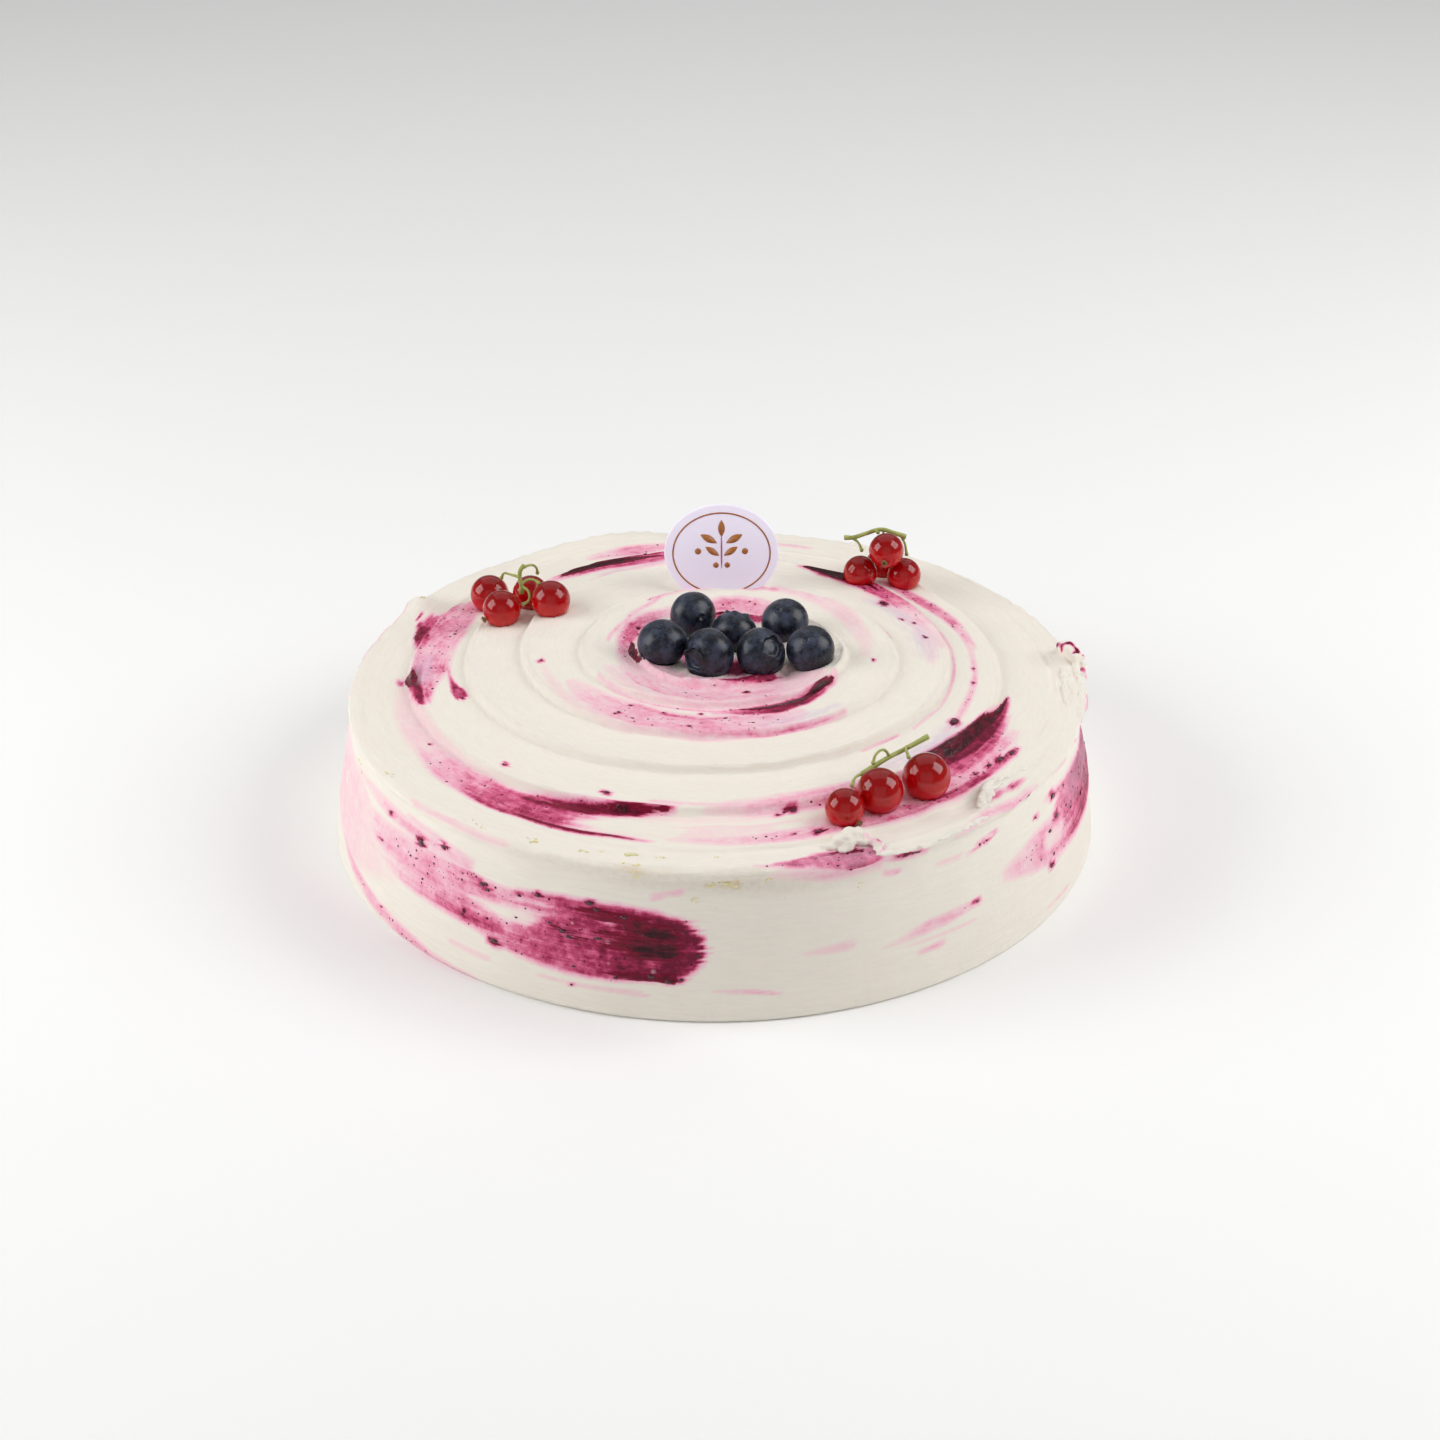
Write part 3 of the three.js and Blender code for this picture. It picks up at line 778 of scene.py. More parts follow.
RIM_MARKS = [
    # angle in degrees, ring radius, height, length along the rim, width across it
    (-69, 91, 1.3, 5, 2), (-71, 96.5, -1.5, 8, 2.4), (-46.5, 91.5, -1.6, 6, 3),
    (-41, 91, 1.2, 5, 1.6), (-39, 97, -0.9, 6, 2.4), (6.5, 97, 2.4, 5, 3.5),
    (151, 96, 2.6, 4, 3.5), (110, 95, 1.8, 14, 4), (96, 96, -1, 7, 4),
]


def smoothstep(value, low, high):
    """0 below low, 1 above high, and an easy curve in between."""
    share = np.clip((value - low) / (high - low), 0, 1)
    return share * share * (3 - 2 * share)


def bell(offset, width):
    """1 where there is no offset, and an easy fall to 0 on both sides."""
    return np.exp(-((offset / width) ** 2))


def turned_from(angle, turn):
    """How far an angle lies from a turn in degrees, the short way round, in radians."""
    return (angle - math.radians(turn) + math.pi) % math.tau - math.pi


def dome_height(radius):
    """The low dome with its hollow, its creases eased by averaging a few rings."""
    rings = [np.interp(radius + ease, DOME_RINGS, DOME_SHARES) for ease in DOME_EASE]
    return DOME_HEIGHT * sum(rings) / len(rings)


def turn_place(radius, angle):
    """How many turns of the knife out a place lies; whole numbers lie on a crest."""
    outer = OUTER_SHIFT * np.sin(angle)
    inner = INNER_OVAL * np.cos(2 * angle) + INNER_SHIFT * np.sin(angle) + INNER_SHRINK
    share = smoothstep(radius, *INNER_ENDS)
    offset = inner + (outer - inner) * share
    return (radius - offset + TURN_PITCH * angle / math.tau - TURN_START) / TURN_PITCH


def turn_height(radius, angle):
    """One terrace a turn: it rises outwards to a crest and then drops to the next one."""
    across = turn_place(radius, angle) % 1
    rise = np.minimum(across / TURN_CREST, (1 - across) / (1 - TURN_CREST))
    fade = smoothstep(radius, *TURNS_BEGIN) - smoothstep(radius, *TURNS_END)
    ridge = CREST_RIDGE * bell(across - TURN_CREST, CREST_WIDTH)
    return (TURN_DEPTH * (rise - 0.5) + ridge) * fade


def lip_height(radius, angle):
    """The lip along the rim, with the places where the knife lifted the cream."""
    wave = LIP_WAVE * (np.sin(3 * angle + 1) + 0.6 * np.sin(8 * angle))
    height = (LIP_HEIGHT + wave) * smoothstep(radius, *LIP_BEGINS)
    for turn, ring, rise, along, across in RIM_MARKS:
        near = bell(ring * turned_from(angle, turn), along) * bell(radius - ring, across)
        height = height + rise * near
    return height


highest_ring = DOME_RINGS[DOME_SHARES.index(1)]
print("highest ring of the dome:", round(float(dome_height(highest_ring)), 2), "mm")

# %% [markdown]
# ## Where the jam went
# The jam is not a pattern but a record of strokes: a dab was laid down, and the knife pulled
# it along the swirl until it thinned out. So each smear is written as a stroke: how soft its
# edge is in millimetres, and then a few points of angle, run, half width and strength. The
# run counts millimetres outwards from the swirl's centre and goes on over the rim and down
# the side. A noise alone would never put the smears where they are, and a painted image
# would not be a procedural material. Five lists hold the strokes: thin films, thick jam,
# bare sponge together with a painted shade under the front lip, lilac veils of cream over
# jam, and the places that the knife wiped clean.

# %% Strokes of the knife: thin films of jam on the top
RUN_AT_RIM = RIM_RADIUS + RIM_HEIGHT

TOP_FILMS = [
    # the sprig at the back right
    (1.3, [(6, 60, 2, 0.14), (20, 60, 2.6, 0.28), (32, 60.2, 3.4, 0.5), (40, 60.4, 4, 0.7),
           (50, 60.8, 4.2, 0.85), (61, 61.8, 3.8, 0.8), (67.5, 61.8, 1, 0.5)]),
    (2.1, [(-4, 57, 2, 0.1), (20, 57, 2.4, 0.18), (42, 57.5, 2.4, 0.25)]),
    (0.6, [(-37, 62.9, 0.3, 0.35), (-18, 63.2, 0.4, 0.4), (2, 63.2, 0.4, 0.5), (30, 63.4, 0.4, 0.5),
           (44, 64, 0.6, 0.6)]),
    (1.0, [(8, 71, 0.6, 0.25), (20, 70.5, 2, 0.5), (32, 69.6, 2.6, 0.65), (44, 69, 2.4, 0.6),
           (49, 69, 1, 0.3)]),
    (0.8, [(-32, 69.2, 0.7, 0.3), (-12, 69, 0.9, 0.4), (0, 69.4, 0.8, 0.35), (30, 70, 0.6, 0.3)]),
    (1.4, [(72, 87.5, 1.2, 0.3), (79, 87.5, 1.2, 0.3)]),
    # behind the plaque
    (1.5, [(97, 85, 2, 0.3), (107, 85, 3.5, 0.55), (115, 84.5, 2, 0.3)]),
    (1.8, [(98, 75, 5, 0.5), (105, 74.5, 7, 0.75), (114, 74, 6, 0.85), (124, 73, 4, 0.8),
           (131, 72.5, 1.2, 0.5)]),
    (1.5, [(103, 64, 3, 0.3), (114, 64, 3.5, 0.5), (125, 63, 1.2, 0.3)]),
    # the left
    (1.2, [(146, 81.5, 2, 0.4), (150, 82, 5, 0.5), (156, 83.4, 7.6, 0.55), (161.5, 81.3, 7.2, 0.5),
           (167.5, 79.8, 5.8, 0.4), (173, 78.6, 5.2, 0.45), (177, 78.4, 5, 0.6),
           (182, 79.2, 4.4, 0.5), (187, 80, 2.6, 0.6), (191, 79.8, 1.6, 0.5)]),
    (1.0, [(153.5, 88.6, 1.6, 0.7), (158, 87.6, 2.4, 0.9), (163, 85.8, 2.2, 0.85),
           (168, 83.8, 1.4, 0.6)]),
    (0.8, [(175, 81.4, 1.2, 0.6), (179, 82.6, 2.2, 0.95), (184, 82, 1.6, 0.95),
           (188, 81.6, 1.6, 0.92), (191.5, 81, 1.1, 0.9)]),
    (0.5, [(153.4, 92.6, 0.5, 0.8), (155.6, 92.3, 0.5, 0.8)]),
    (0.5, [(157, 90.4, 0.8, 0.85), (158.4, 89.9, 0.9, 0.85)]),
    (0.5, [(179.7, 86, 1, 0.75), (180.6, 86, 1, 0.75)]),
    (0.5, [(174.5, 74, 0.3, 0.5), (182, 73.2, 0.4, 0.7), (186, 72.4, 0.8, 0.8), (190, 71, 2, 0.85),
           (192.6, 70.6, 1.9, 0.85)]),
    (2.8, [(180, 84, 3, 0.12), (200, 84, 4, 0.2), (215, 84, 4, 0.2)]),
    # the fork at the front left
    (1.3, [(203, 84, 3, 0.14), (211, 84.5, 4, 0.36), (220, 84.5, 4.8, 0.55), (228, 84.3, 4.8, 0.68),
           (236, 83.8, 4.4, 0.78), (243, 83.5, 3.4, 0.74), (247, 83.2, 2.6, 0.4)]),
    (1.1, [(222, 81.5, 1, 0.5), (234, 80.6, 2, 0.85), (244, 79, 2.4, 0.95), (254, 77, 1.8, 0.95),
           (261, 75.6, 0.6, 0.7)]),
    (0.7, [(218, 88.4, 0.6, 0.5), (230, 88.4, 0.9, 0.8), (242, 87.9, 1.2, 0.92),
           (252, 87.6, 1, 0.85), (259, 87.6, 0.4, 0.4)]),
    (2.1, [(246, 83, 4, 0.1), (262, 81, 4, 0.16), (278, 80, 4, 0.12)]),
    (0.7, [(256, 73.6, 0.5, 0.3), (290, 73.5, 0.5, 0.3)]),
    # the sprig at the front
    (1.5, [(262, 86, 1, 0.15), (275, 85.8, 2, 0.35), (290, 85.5, 2.5, 0.5), (305, 85.5, 2.5, 0.6)]),
    (1.5, [(268, 74.5, 1.5, 0.15), (280, 74.5, 2.5, 0.35), (292, 74.5, 3.5, 0.5),
           (304, 75, 3.5, 0.5)]),
    (0.7, [(262, 80.5, 0.4, 0.3), (285, 80, 0.5, 0.4)]),
    (2.1, [(288, 80, 4, 0.18), (298, 81, 7, 0.38), (310, 81.5, 7, 0.44), (322, 81.5, 6.5, 0.48),
           (330, 82, 4.2, 0.45), (335, 83.6, 2.2, 0.42), (338, 84.4, 0.6, 0.35)]),
    (1.0, [(286, 87, 1, 0.35), (300, 87.2, 1.6, 0.6), (318, 87, 1.8, 0.75), (333, 87.6, 1.2, 0.6)]),
    (1.5, [(312, 79.5, 3, 0.58), (322, 80, 3.6, 0.7), (330, 80.3, 3, 0.76), (336, 80.2, 1.8, 0.75),
           (343, 79.6, 0.8, 0.7)]),
    (0.9, [(316, 74.6, 3, 0.85), (326, 75.6, 4.2, 0.95), (336, 76.8, 3.4, 0.95),
           (343, 77.8, 2, 0.9), (349.5, 78.8, 0.5, 0.8)]),
    (0.7, [(281, 71.6, 0.5, 0.3), (295, 71.4, 0.5, 0.35)]),
    (0.6, [(306, 61.6, 0.3, 0.5), (318, 61.8, 0.4, 0.6)]),
    # the band round the hollow
    (1.7, [(204, 44, 2, 0.18), (216, 44, 4, 0.3), (232, 43.5, 5, 0.4), (262, 43.5, 5, 0.42),
           (284, 43, 4.5, 0.42), (296, 42.5, 3, 0.3)]),
    (0.8, [(206, 37.8, 0.4, 0.3), (236, 37, 0.6, 0.5), (258, 35.6, 0.6, 0.5),
           (274, 34.4, 0.5, 0.6)]),
    (1.7, [(200, 33.5, 2, 0.14), (235, 33.4, 2.6, 0.22), (280, 32.4, 3, 0.28),
           (312, 31.6, 2, 0.24)]),
    (1.0, [(230, 40.5, 0.8, 0.4), (250, 40.3, 1, 0.62), (270, 40, 1, 0.6)]),
    (2.1, [(190, 49, 1, 0.12), (215, 49, 1.5, 0.2), (240, 48.5, 1.5, 0.2)]),
    (0.6, [(268, 47.3, 0.4, 0.5), (290, 47.4, 0.5, 0.75), (312, 47.2, 0.3, 0.4)]),
    (1.1, [(266, 36, 1.5, 0.4), (277, 36, 2.5, 0.75), (292, 36.3, 3.4, 0.92), (308, 35.4, 2.8, 0.9),
           (322, 34.2, 1.6, 0.75), (332, 33, 0.6, 0.4)]),
    (2.1, [(-6, 38, 2, 0.1), (30, 38.5, 3, 0.2), (68, 39.5, 2.5, 0.22)]),
    (0.7, [(12, 46.8, 0.5, 0.35), (40, 43, 0.7, 0.5), (70, 39.2, 0.6, 0.5)]),
    (0.8, [(94, 35.7, 0.4, 0.6), (110, 35.6, 0.6, 0.7), (127, 35.6, 0.4, 0.5)]),
    (1.1, [(68, 37.5, 1.4, 0.5), (80, 37.2, 2, 0.6), (92, 36.6, 1.4, 0.5)]),
    # the hollow, and the floor among the berries: a dark film that is partly jam and partly
    # painted shade between the berries
    (2.5, [(170, 10, 4, 0.7), (230, 9, 5, 0.9), (300, 9, 5, 0.9), (360, 10, 4, 0.7)]),
    (2.1, [(188, 24, 6, 0.22), (215, 25, 7, 0.3), (250, 25, 8, 0.36), (290, 25, 8, 0.36),
           (325, 25, 6, 0.25)]),
    (0.8, [(200, 30.8, 0.5, 0.35), (232, 31, 0.9, 0.5), (272, 31.5, 0.7, 0.45)]),
    (0.8, [(252, 19, 0.4, 0.6), (265, 17.2, 0.9, 0.9), (285, 16.4, 1.5, 0.95),
           (300, 17.4, 1.5, 0.95), (316, 20, 0.5, 0.8)]),
    (0.8, [(118, 35.4, 0.4, 0.4), (132, 33.8, 0.5, 0.5), (150, 32.4, 0.6, 0.45),
           (172, 32.8, 0.4, 0.3)]),
    (1.5, [(122, 28, 2, 0.3), (135, 29, 2.4, 0.55), (152, 29.4, 2.4, 0.66), (170, 28, 2.2, 0.6),
           (188, 27.5, 2, 0.4), (200, 27, 1, 0.3)]),
    (1.5, [(56, 27.5, 2.4, 0.45), (80, 27.8, 3.4, 0.5), (106, 27.5, 3, 0.5)]),
    (1.0, [(60, 22, 1.8, 0.7), (84, 22.2, 2, 0.82), (104, 22, 1.8, 0.75)]),
    (1.1, [(66, 21.5, 1.5, 0.85), (104, 21.5, 1.5, 0.85)]),
]
print("films on the top:", len(TOP_FILMS))

# %% Strokes of the knife: thin films on the side


def on_side(strokes):
    """Strokes on the side: their points give a height over the floor in place of a run."""
    return [
        (soft, [(turn, RUN_AT_RIM - height, *more) for turn, height, *more in points])
        for soft, points in strokes
    ]


SIDE_FILMS = on_side([
    # the long smear at the front left, from its pale tail to its dark end
    (1.8, [(-158, 27, 1, 0.12), (-150, 25, 4, 0.3), (-142, 23.5, 5.5, 0.42), (-132, 22.5, 6.5, 0.5),
           (-124, 21, 7, 0.5), (-119, 20.5, 8, 0.6)]),
    (1.4, [(-148, 18, 1, 0.25), (-138, 17.8, 2.2, 0.5), (-128, 17, 2.6, 0.7),
           (-122, 16.6, 1.8, 0.7)]),
    (1.1, [(-134, 27.5, 1.5, 0.4), (-128, 27.2, 2.2, 0.62), (-123, 27, 1.2, 0.55)]),
    (1.3, [(-126, 20, 6, 0.46), (-119, 20.2, 9, 0.62), (-112, 20.3, 10.2, 0.78),
           (-104, 20.2, 10.6, 0.88), (-98.5, 20, 9.6, 0.95), (-96, 20, 8.2, 0.95)]),
    (1.4, [(-160, 33.5, 0.8, 0.15), (-150, 33, 1.4, 0.32), (-140, 31.4, 1.4, 0.42),
           (-128, 30.6, 1.2, 0.35)]),
    (1.1, [(-142, 34.5, 0.6, 0.3), (-128, 32, 0.8, 0.28)]),
    (1.1, [(-165, 9.5, 1.2, 0.2), (-157, 5.8, 2, 0.4), (-150, 4.4, 2, 0.45), (-142, 2.6, 1.8, 0.5),
           (-135, 1.2, 1.2, 0.45), (-126, 0.6, 0.5, 0.3)]),
    (1.0, [(-131, 8, 0.5, 0.2), (-124, 8, 0.6, 0.25)]),
    (0.8, [(-116, 7.6, 0.4, 0.25), (-100, 6.8, 0.5, 0.25)]),
    (3.0, [(-190, 24, 8, 0.12), (-172, 22, 12, 0.24), (-158, 20, 12, 0.2), (-146, 18, 6, 0.08)]),
    # the broad one at the right, which runs on out of the picture
    (1.8, [(-43, 22, 2, 0.2), (-36, 22, 5, 0.45), (-30, 21, 6, 0.45), (-25, 23.5, 8.5, 0.62),
           (-18, 23.5, 8.5, 0.78), (-8, 23.5, 8.5, 0.86), (6, 23.5, 8, 0.84), (20, 23, 6, 0.5),
           (30, 22, 3, 0.3)]),
    (1.3, [(-22, 19, 2.5, 0.6), (-14, 20, 4, 0.85), (0, 21, 4.5, 0.85), (14, 21, 3, 0.6)]),
    (1.2, [(-31, 32.4, 0.5, 0.3), (-27, 31.6, 1.2, 0.55), (-18, 31, 1.2, 0.6)]),
    (1.1, [(-66, 15, 0.6, 0.12), (-58, 17.6, 1.6, 0.35), (-49, 18.6, 0.8, 0.35)]),
    (1.0, [(-62, 13.8, 0.4, 0.15), (-50, 14, 0.5, 0.2)]),
    (1.0, [(-60, 11, 0.5, 0.3), (-56.5, 11.2, 0.8, 0.4)]),
    (1.2, [(-77, 17.5, 0.8, 0.12), (-71, 18, 1.2, 0.25)]),
    (0.6, [(-90, 8.8, 0.3, 0.2), (-84, 8.2, 0.6, 0.4), (-81.5, 7.2, 0.3, 0.4)]),
    (0.9, [(-98.8, 33.4, 0.8, 0.35), (-97, 34.4, 0.6, 0.2), (-95, 34.8, 0.8, 0.3)]),
    (0.8, [(-27, 36.8, 0.4, 0.2), (-20, 35.8, 0.5, 0.3)]),
    (0.8, [(-33, 3.6, 0.5, 0.2), (-26, 3.4, 0.5, 0.25)]),
    # under the lip
    (0.6, [(-84, 40.3, 0.3, 0.4), (-79.5, 40.4, 1.1, 0.66), (-75, 41.4, 2.4, 0.7),
           (-69, 41.2, 3.2, 0.76), (-66.2, 40.4, 2, 0.7)]),
    (1.4, [(-82, 38.2, 0.6, 0.15), (-74, 37.6, 1.6, 0.32), (-66, 37.2, 1.4, 0.3)]),
    (0.9, [(-65.4, 38.6, 0.8, 0.3), (-62, 38, 1.3, 0.6), (-58, 37.4, 0.9, 0.4)]),
    (0.6, [(-43.4, 44, 0.8, 0.3), (-41.5, 43.6, 1.6, 0.7), (-39.8, 43.4, 1, 0.6)]),
    (0.6, [(-38.6, 43, 0.6, 0.4), (-36.8, 42.6, 1.3, 0.66), (-34.6, 42, 0.7, 0.5)]),
    (0.8, [(-53, 38.4, 0.6, 0.2), (-46, 40, 0.8, 0.4), (-38, 39.4, 0.7, 0.5), (-34, 39, 0.4, 0.3)]),
    (0.7, [(-64.8, 34.4, 0.5, 0.4), (-62.6, 33.8, 0.5, 0.5)]),
    (0.8, [(-56, 33, 0.4, 0.2), (-51.5, 32.6, 0.6, 0.2)]),
    (0.8, [(-141, 39.4, 0.5, 0.25), (-122, 39.4, 0.5, 0.2)]),
    (0.7, [(-208, 39.2, 0.3, 0.3), (-188, 39, 0.4, 0.3), (-176, 38.5, 0.3, 0.2)]),
    (0.9, [(-12, 38.4, 0.5, 0.5), (-2, 38.8, 0.9, 0.8), (6, 38.8, 1.4, 0.9), (11, 38, 0.7, 0.6)]),
    (0.6, [(-50, 32.4, 0.3, 0.4), (-47.6, 33.4, 0.8, 0.75), (-46.2, 34, 0.4, 0.5)]),
    (0.5, [(-45.8, 34.6, 0.2, 0.5), (-44.4, 34.4, 0.4, 0.7), (-43.4, 34, 0.2, 0.5)]),
    # the back, guessed in the same style
    (1.7, [(52, 14, 1.2, 0.2), (66, 14.5, 3, 0.42), (84, 14, 4, 0.6), (98, 13.5, 4.5, 0.78),
           (104, 13.5, 3.4, 0.7)]),
    (1.5, [(118, 27, 1, 0.2), (136, 27, 3, 0.4), (152, 26, 2.4, 0.5), (160, 25.5, 1, 0.3)]),
    (1.2, [(36, 31, 0.6, 0.2), (60, 31, 1.2, 0.35), (82, 30, 0.8, 0.25)]),
])
FILMS = TOP_FILMS + SIDE_FILMS
print("films on the side:", len(SIDE_FILMS))

# %% [markdown]
# ## Bits of skin that bleed
# Round the larger bits of skin the jam is darker, as each bit bleeds into the cream. So one
# list of places serves twice: here it stains the films, with a dark blot under the largest,
# and later the lumps themselves are laid on the same places.

# %% The larger bits of skin, and the stain round each
BIT_SPOTS = [
    # angle in degrees, run, and length in millimetres
    (35, 55.4, 2.6), (23, 54.5, 1.2), (20, 57, 1.2), (11, 57, 1.2), (247, 73, 1.6),
    (223, 75.7, 1.1), (205, 83.3, 1.1), (332, 69.4, 2.4), (351, 69, 1.2), (358, 69, 1),
    (321, 85, 1.4), (232, 45, 1.1), (232, 40.5, 1.1), (258, 44.6, 1.1), (246, 40, 0.9),
    (260, 37.4, 0.9), (282, 22.5, 1.8), (350, 40.6, 1.1), (185, 49.5, 1.3), (284, 76, 2.2),
    (281, 77, 1.4), (287, 86, 2), (292, 87, 1.4), (328, 86.5, 2.6), (331, 87.6, 2),
    (325, 85.4, 1.6), (305, 72.6, 1.6), (283, 85, 1.1),
]
BIT_SPOTS += [
    (turn, RUN_AT_RIM - height, length) for turn, height, length in [
        (-138.5, 30, 2.4), (-147, 32, 1.2), (-133.5, 32, 1.8), (-125.5, 27.2, 2), (-124.5, 26, 1.2),
        (-119, 27.6, 1.3), (-116, 29, 1.8), (-119.5, 21.2, 1), (-123, 13, 2.2), (-149, 22.4, 0.9),
        (-147, 5, 0.9), (-110.4, 7, 0.8), (-108, 30, 2), (-107, 28.6, 1.6), (-103, 27.6, 1.8),
        (-112, 21, 2.2), (-111, 19.8, 1.8), (-106.5, 20.8, 1.6), (-114, 22.4, 1.3), (-99, 12, 2),
        (-96.6, 10.9, 1.5), (-94.8, 11.6, 1.4), (-104, 10.8, 1.2), (-92.4, 18, 1.2),
        (-110.2, 12, 1.2), (-28.5, 26.5, 2), (-28.5, 32, 2), (-34.5, 30.8, 1), (-31.5, 14.6, 1.8),
        (-31, 24.2, 1.4), (-24, 31.2, 1.2), (-16, 21.8, 2), (-22.5, 23.5, 1.4), (-12, 19.6, 1.6),
        (-49.5, 18.8, 1.1), (-61.5, 38, 1.6), (-59.5, 37.8, 1.2), (-62.8, 38.4, 0.9),
        (-46.5, 33.4, 0.8), (-70.5, 38.2, 0.9), (-13, 35.4, 1.2), (6, 17, 1.4), (-36, 38.4, 1),
    ]
]
STAIN_EDGE, STAIN_SHARE, STAIN_DEPTH, STAIN_REACH = 0.6, 0.75, 0.8, 0.3
BLOT_EDGE, BLOT_SHARE, BLOT_DEPTH, BLOT_REACH = 0.8, 0.55, 0.62, 0.5
BLOT_LENGTH = 1.5


def spot(soft, turn, run, half, amount, reach):
    """A stroke so short that it is a round spot; reach is in degrees."""
    return (soft, [(turn - reach, run, half, amount), (turn + reach, run, half, amount)])


FILMS += [
    spot(STAIN_EDGE, turn, run, STAIN_SHARE * length, STAIN_DEPTH, STAIN_REACH)
    for turn, run, length in BIT_SPOTS
]
print("bits laid by hand:", len(BIT_SPOTS))

# %% Strokes of the knife: thick jam, bare sponge with painted shade, lilac veils, and where it wiped
THICK_JAM = [
    (0.7, [(43, 60.4, 0.3, 0.8), (50, 60.2, 2, 1), (57, 61, 3, 1), (62, 61.8, 2, 1),
           (66.5, 61.8, 0.6, 0.9)]),
    (1.2, [(103, 73.5, 0.6, 0.7), (112, 73, 2.4, 0.95), (123, 73, 2.2, 0.95),
           (130, 72.6, 0.5, 0.8)]),
    (0.9, [(156, 89.4, 0.7, 0.46), (162.5, 87.6, 1, 0.6), (165, 86.6, 0.5, 0.46)]),
    (0.8, [(178.4, 83.4, 1.4, 0.75), (180.6, 83.2, 2, 0.86), (182.6, 82.8, 1.2, 0.75)]),
    (0.6, [(183.4, 82.6, 0.6, 0.5), (189, 81.8, 0.7, 0.55)]),
    (0.8, [(232, 88.3, 0.3, 0.5), (242, 87.8, 0.9, 0.68), (251, 87.5, 0.9, 0.7),
           (257, 87.6, 0.3, 0.6)]),
    (0.9, [(236, 80.2, 0.6, 0.6), (243, 79.2, 1.8, 0.74), (251, 77.5, 1.6, 0.8),
           (260, 75.8, 0.6, 0.7)]),
    (0.7, [(315, 73.6, 1.2, 0.85), (324, 74.2, 2, 0.94), (333, 75.2, 2, 1), (341, 76.8, 1.5, 1),
           (349, 78.5, 0.3, 1)]),
    (0.7, [(331.5, 69.4, 1, 0.9), (333, 69.3, 1, 0.9)]),
    (0.6, [(276, 34.3, 0.5, 0.8), (283, 35.5, 1.1, 0.95), (300, 35.3, 1.5, 1), (315, 34.2, 1.3, 1),
           (328, 33.3, 0.6, 0.8)]),
    (0.6, [(168, 26.6, 0.6, 0.7), (182, 25.8, 1.2, 0.95), (195, 25, 0.8, 0.8)]),
    (0.7, [(71, 24.3, 0.5, 0.8), (86, 24.4, 0.8, 0.9), (101, 24.3, 0.5, 0.8)]),
    (0.7, [(73, 37.2, 0.7, 0.8), (80, 37, 1.1, 0.9), (90, 36.6, 0.6, 0.8)]),
]
THICK_JAM += on_side([
    (1.4, [(-109, 21, 1.6, 0.36), (-105, 21.4, 4, 0.5), (-101, 21.2, 5.4, 0.72),
           (-97, 21.2, 4.8, 0.84)]),
    (1.9, [(-106, 20.2, 1, 0.6), (-100, 19.8, 3.2, 1), (-96.5, 19.6, 3, 1)]),
    (1.7, [(-104, 24.2, 0.8, 0.6), (-98.5, 23.8, 2.4, 0.96), (-96.4, 23.4, 2, 0.96)]),
    (1.2, [(-112, 27.5, 1.2, 0.5), (-107, 27.3, 2, 0.72), (-100, 26.6, 1.6, 0.85)]),
    (1.2, [(-108, 11.4, 0.8, 0.5), (-103, 11.4, 1.4, 0.7), (-96, 11.6, 1.6, 0.8)]),
    (1.2, [(-114, 21.5, 1, 0.5), (-111, 20.4, 1.6, 0.7), (-107, 19.6, 0.8, 0.5)]),
    (1.2, [(-18, 20.5, 0.8, 0.4), (-12, 20.5, 1.4, 0.56), (4, 21, 1.6, 0.6), (12, 21, 0.8, 0.5)]),
    (0.5, [(-77, 41.8, 0.3, 0.5), (-72, 43.4, 0.5, 0.62), (-68.5, 43, 0.6, 0.66),
           (-66.6, 41.6, 0.4, 0.5)]),
    (0.5, [(-62.6, 38.6, 0.5, 0.6), (-60.6, 38.2, 0.6, 0.7), (-58.8, 37.8, 0.3, 0.5)]),
    (0.8, [(4, 38.8, 0.6, 0.7), (8, 38.2, 1, 0.9)]),
    (1.2, [(88, 13.6, 0.8, 0.5), (96, 13.4, 2.2, 0.8), (102, 13.4, 1.6, 0.8)]),
])
THICK_JAM += [
    spot(BLOT_EDGE, turn, run, BLOT_SHARE * length, BLOT_DEPTH, BLOT_REACH)
    for turn, run, length in BIT_SPOTS if length > BLOT_LENGTH
]
SPONGE_AND_LIP_SHADE = on_side([
    # where the cream is scraped so thin that the sponge shows through,
    # and, in the last broad stroke, painted shade under the front lip
    (1.2, [(-89.8, 37, 0.6, 0.5), (-87.6, 37, 1.9, 1), (-85.8, 37.6, 0.8, 0.7)]),
    (0.9, [(-92, 36.6, 0.5, 0.5), (-90.8, 36.8, 0.9, 0.8)]),
    (0.8, [(-106, 39.8, 0.4, 0.5), (-101.5, 39.2, 0.9, 0.8), (-98, 38.8, 0.4, 0.6)]),
    (0.8, [(-82, 37.6, 0.8, 0.5), (-80.5, 37.4, 0.6, 0.4)]),
    # painted shade: this broad, weak stroke greys the cream just under the front lip
    (1.6, [(-128, 38.4, 0.6, 0.2), (-112, 38.6, 1.4, 0.36), (-95, 37.4, 2.4, 0.44),
           (-84, 37, 3, 0.44), (-74, 35.6, 1.6, 0.3), (-66, 35, 0.6, 0.2)]),
])
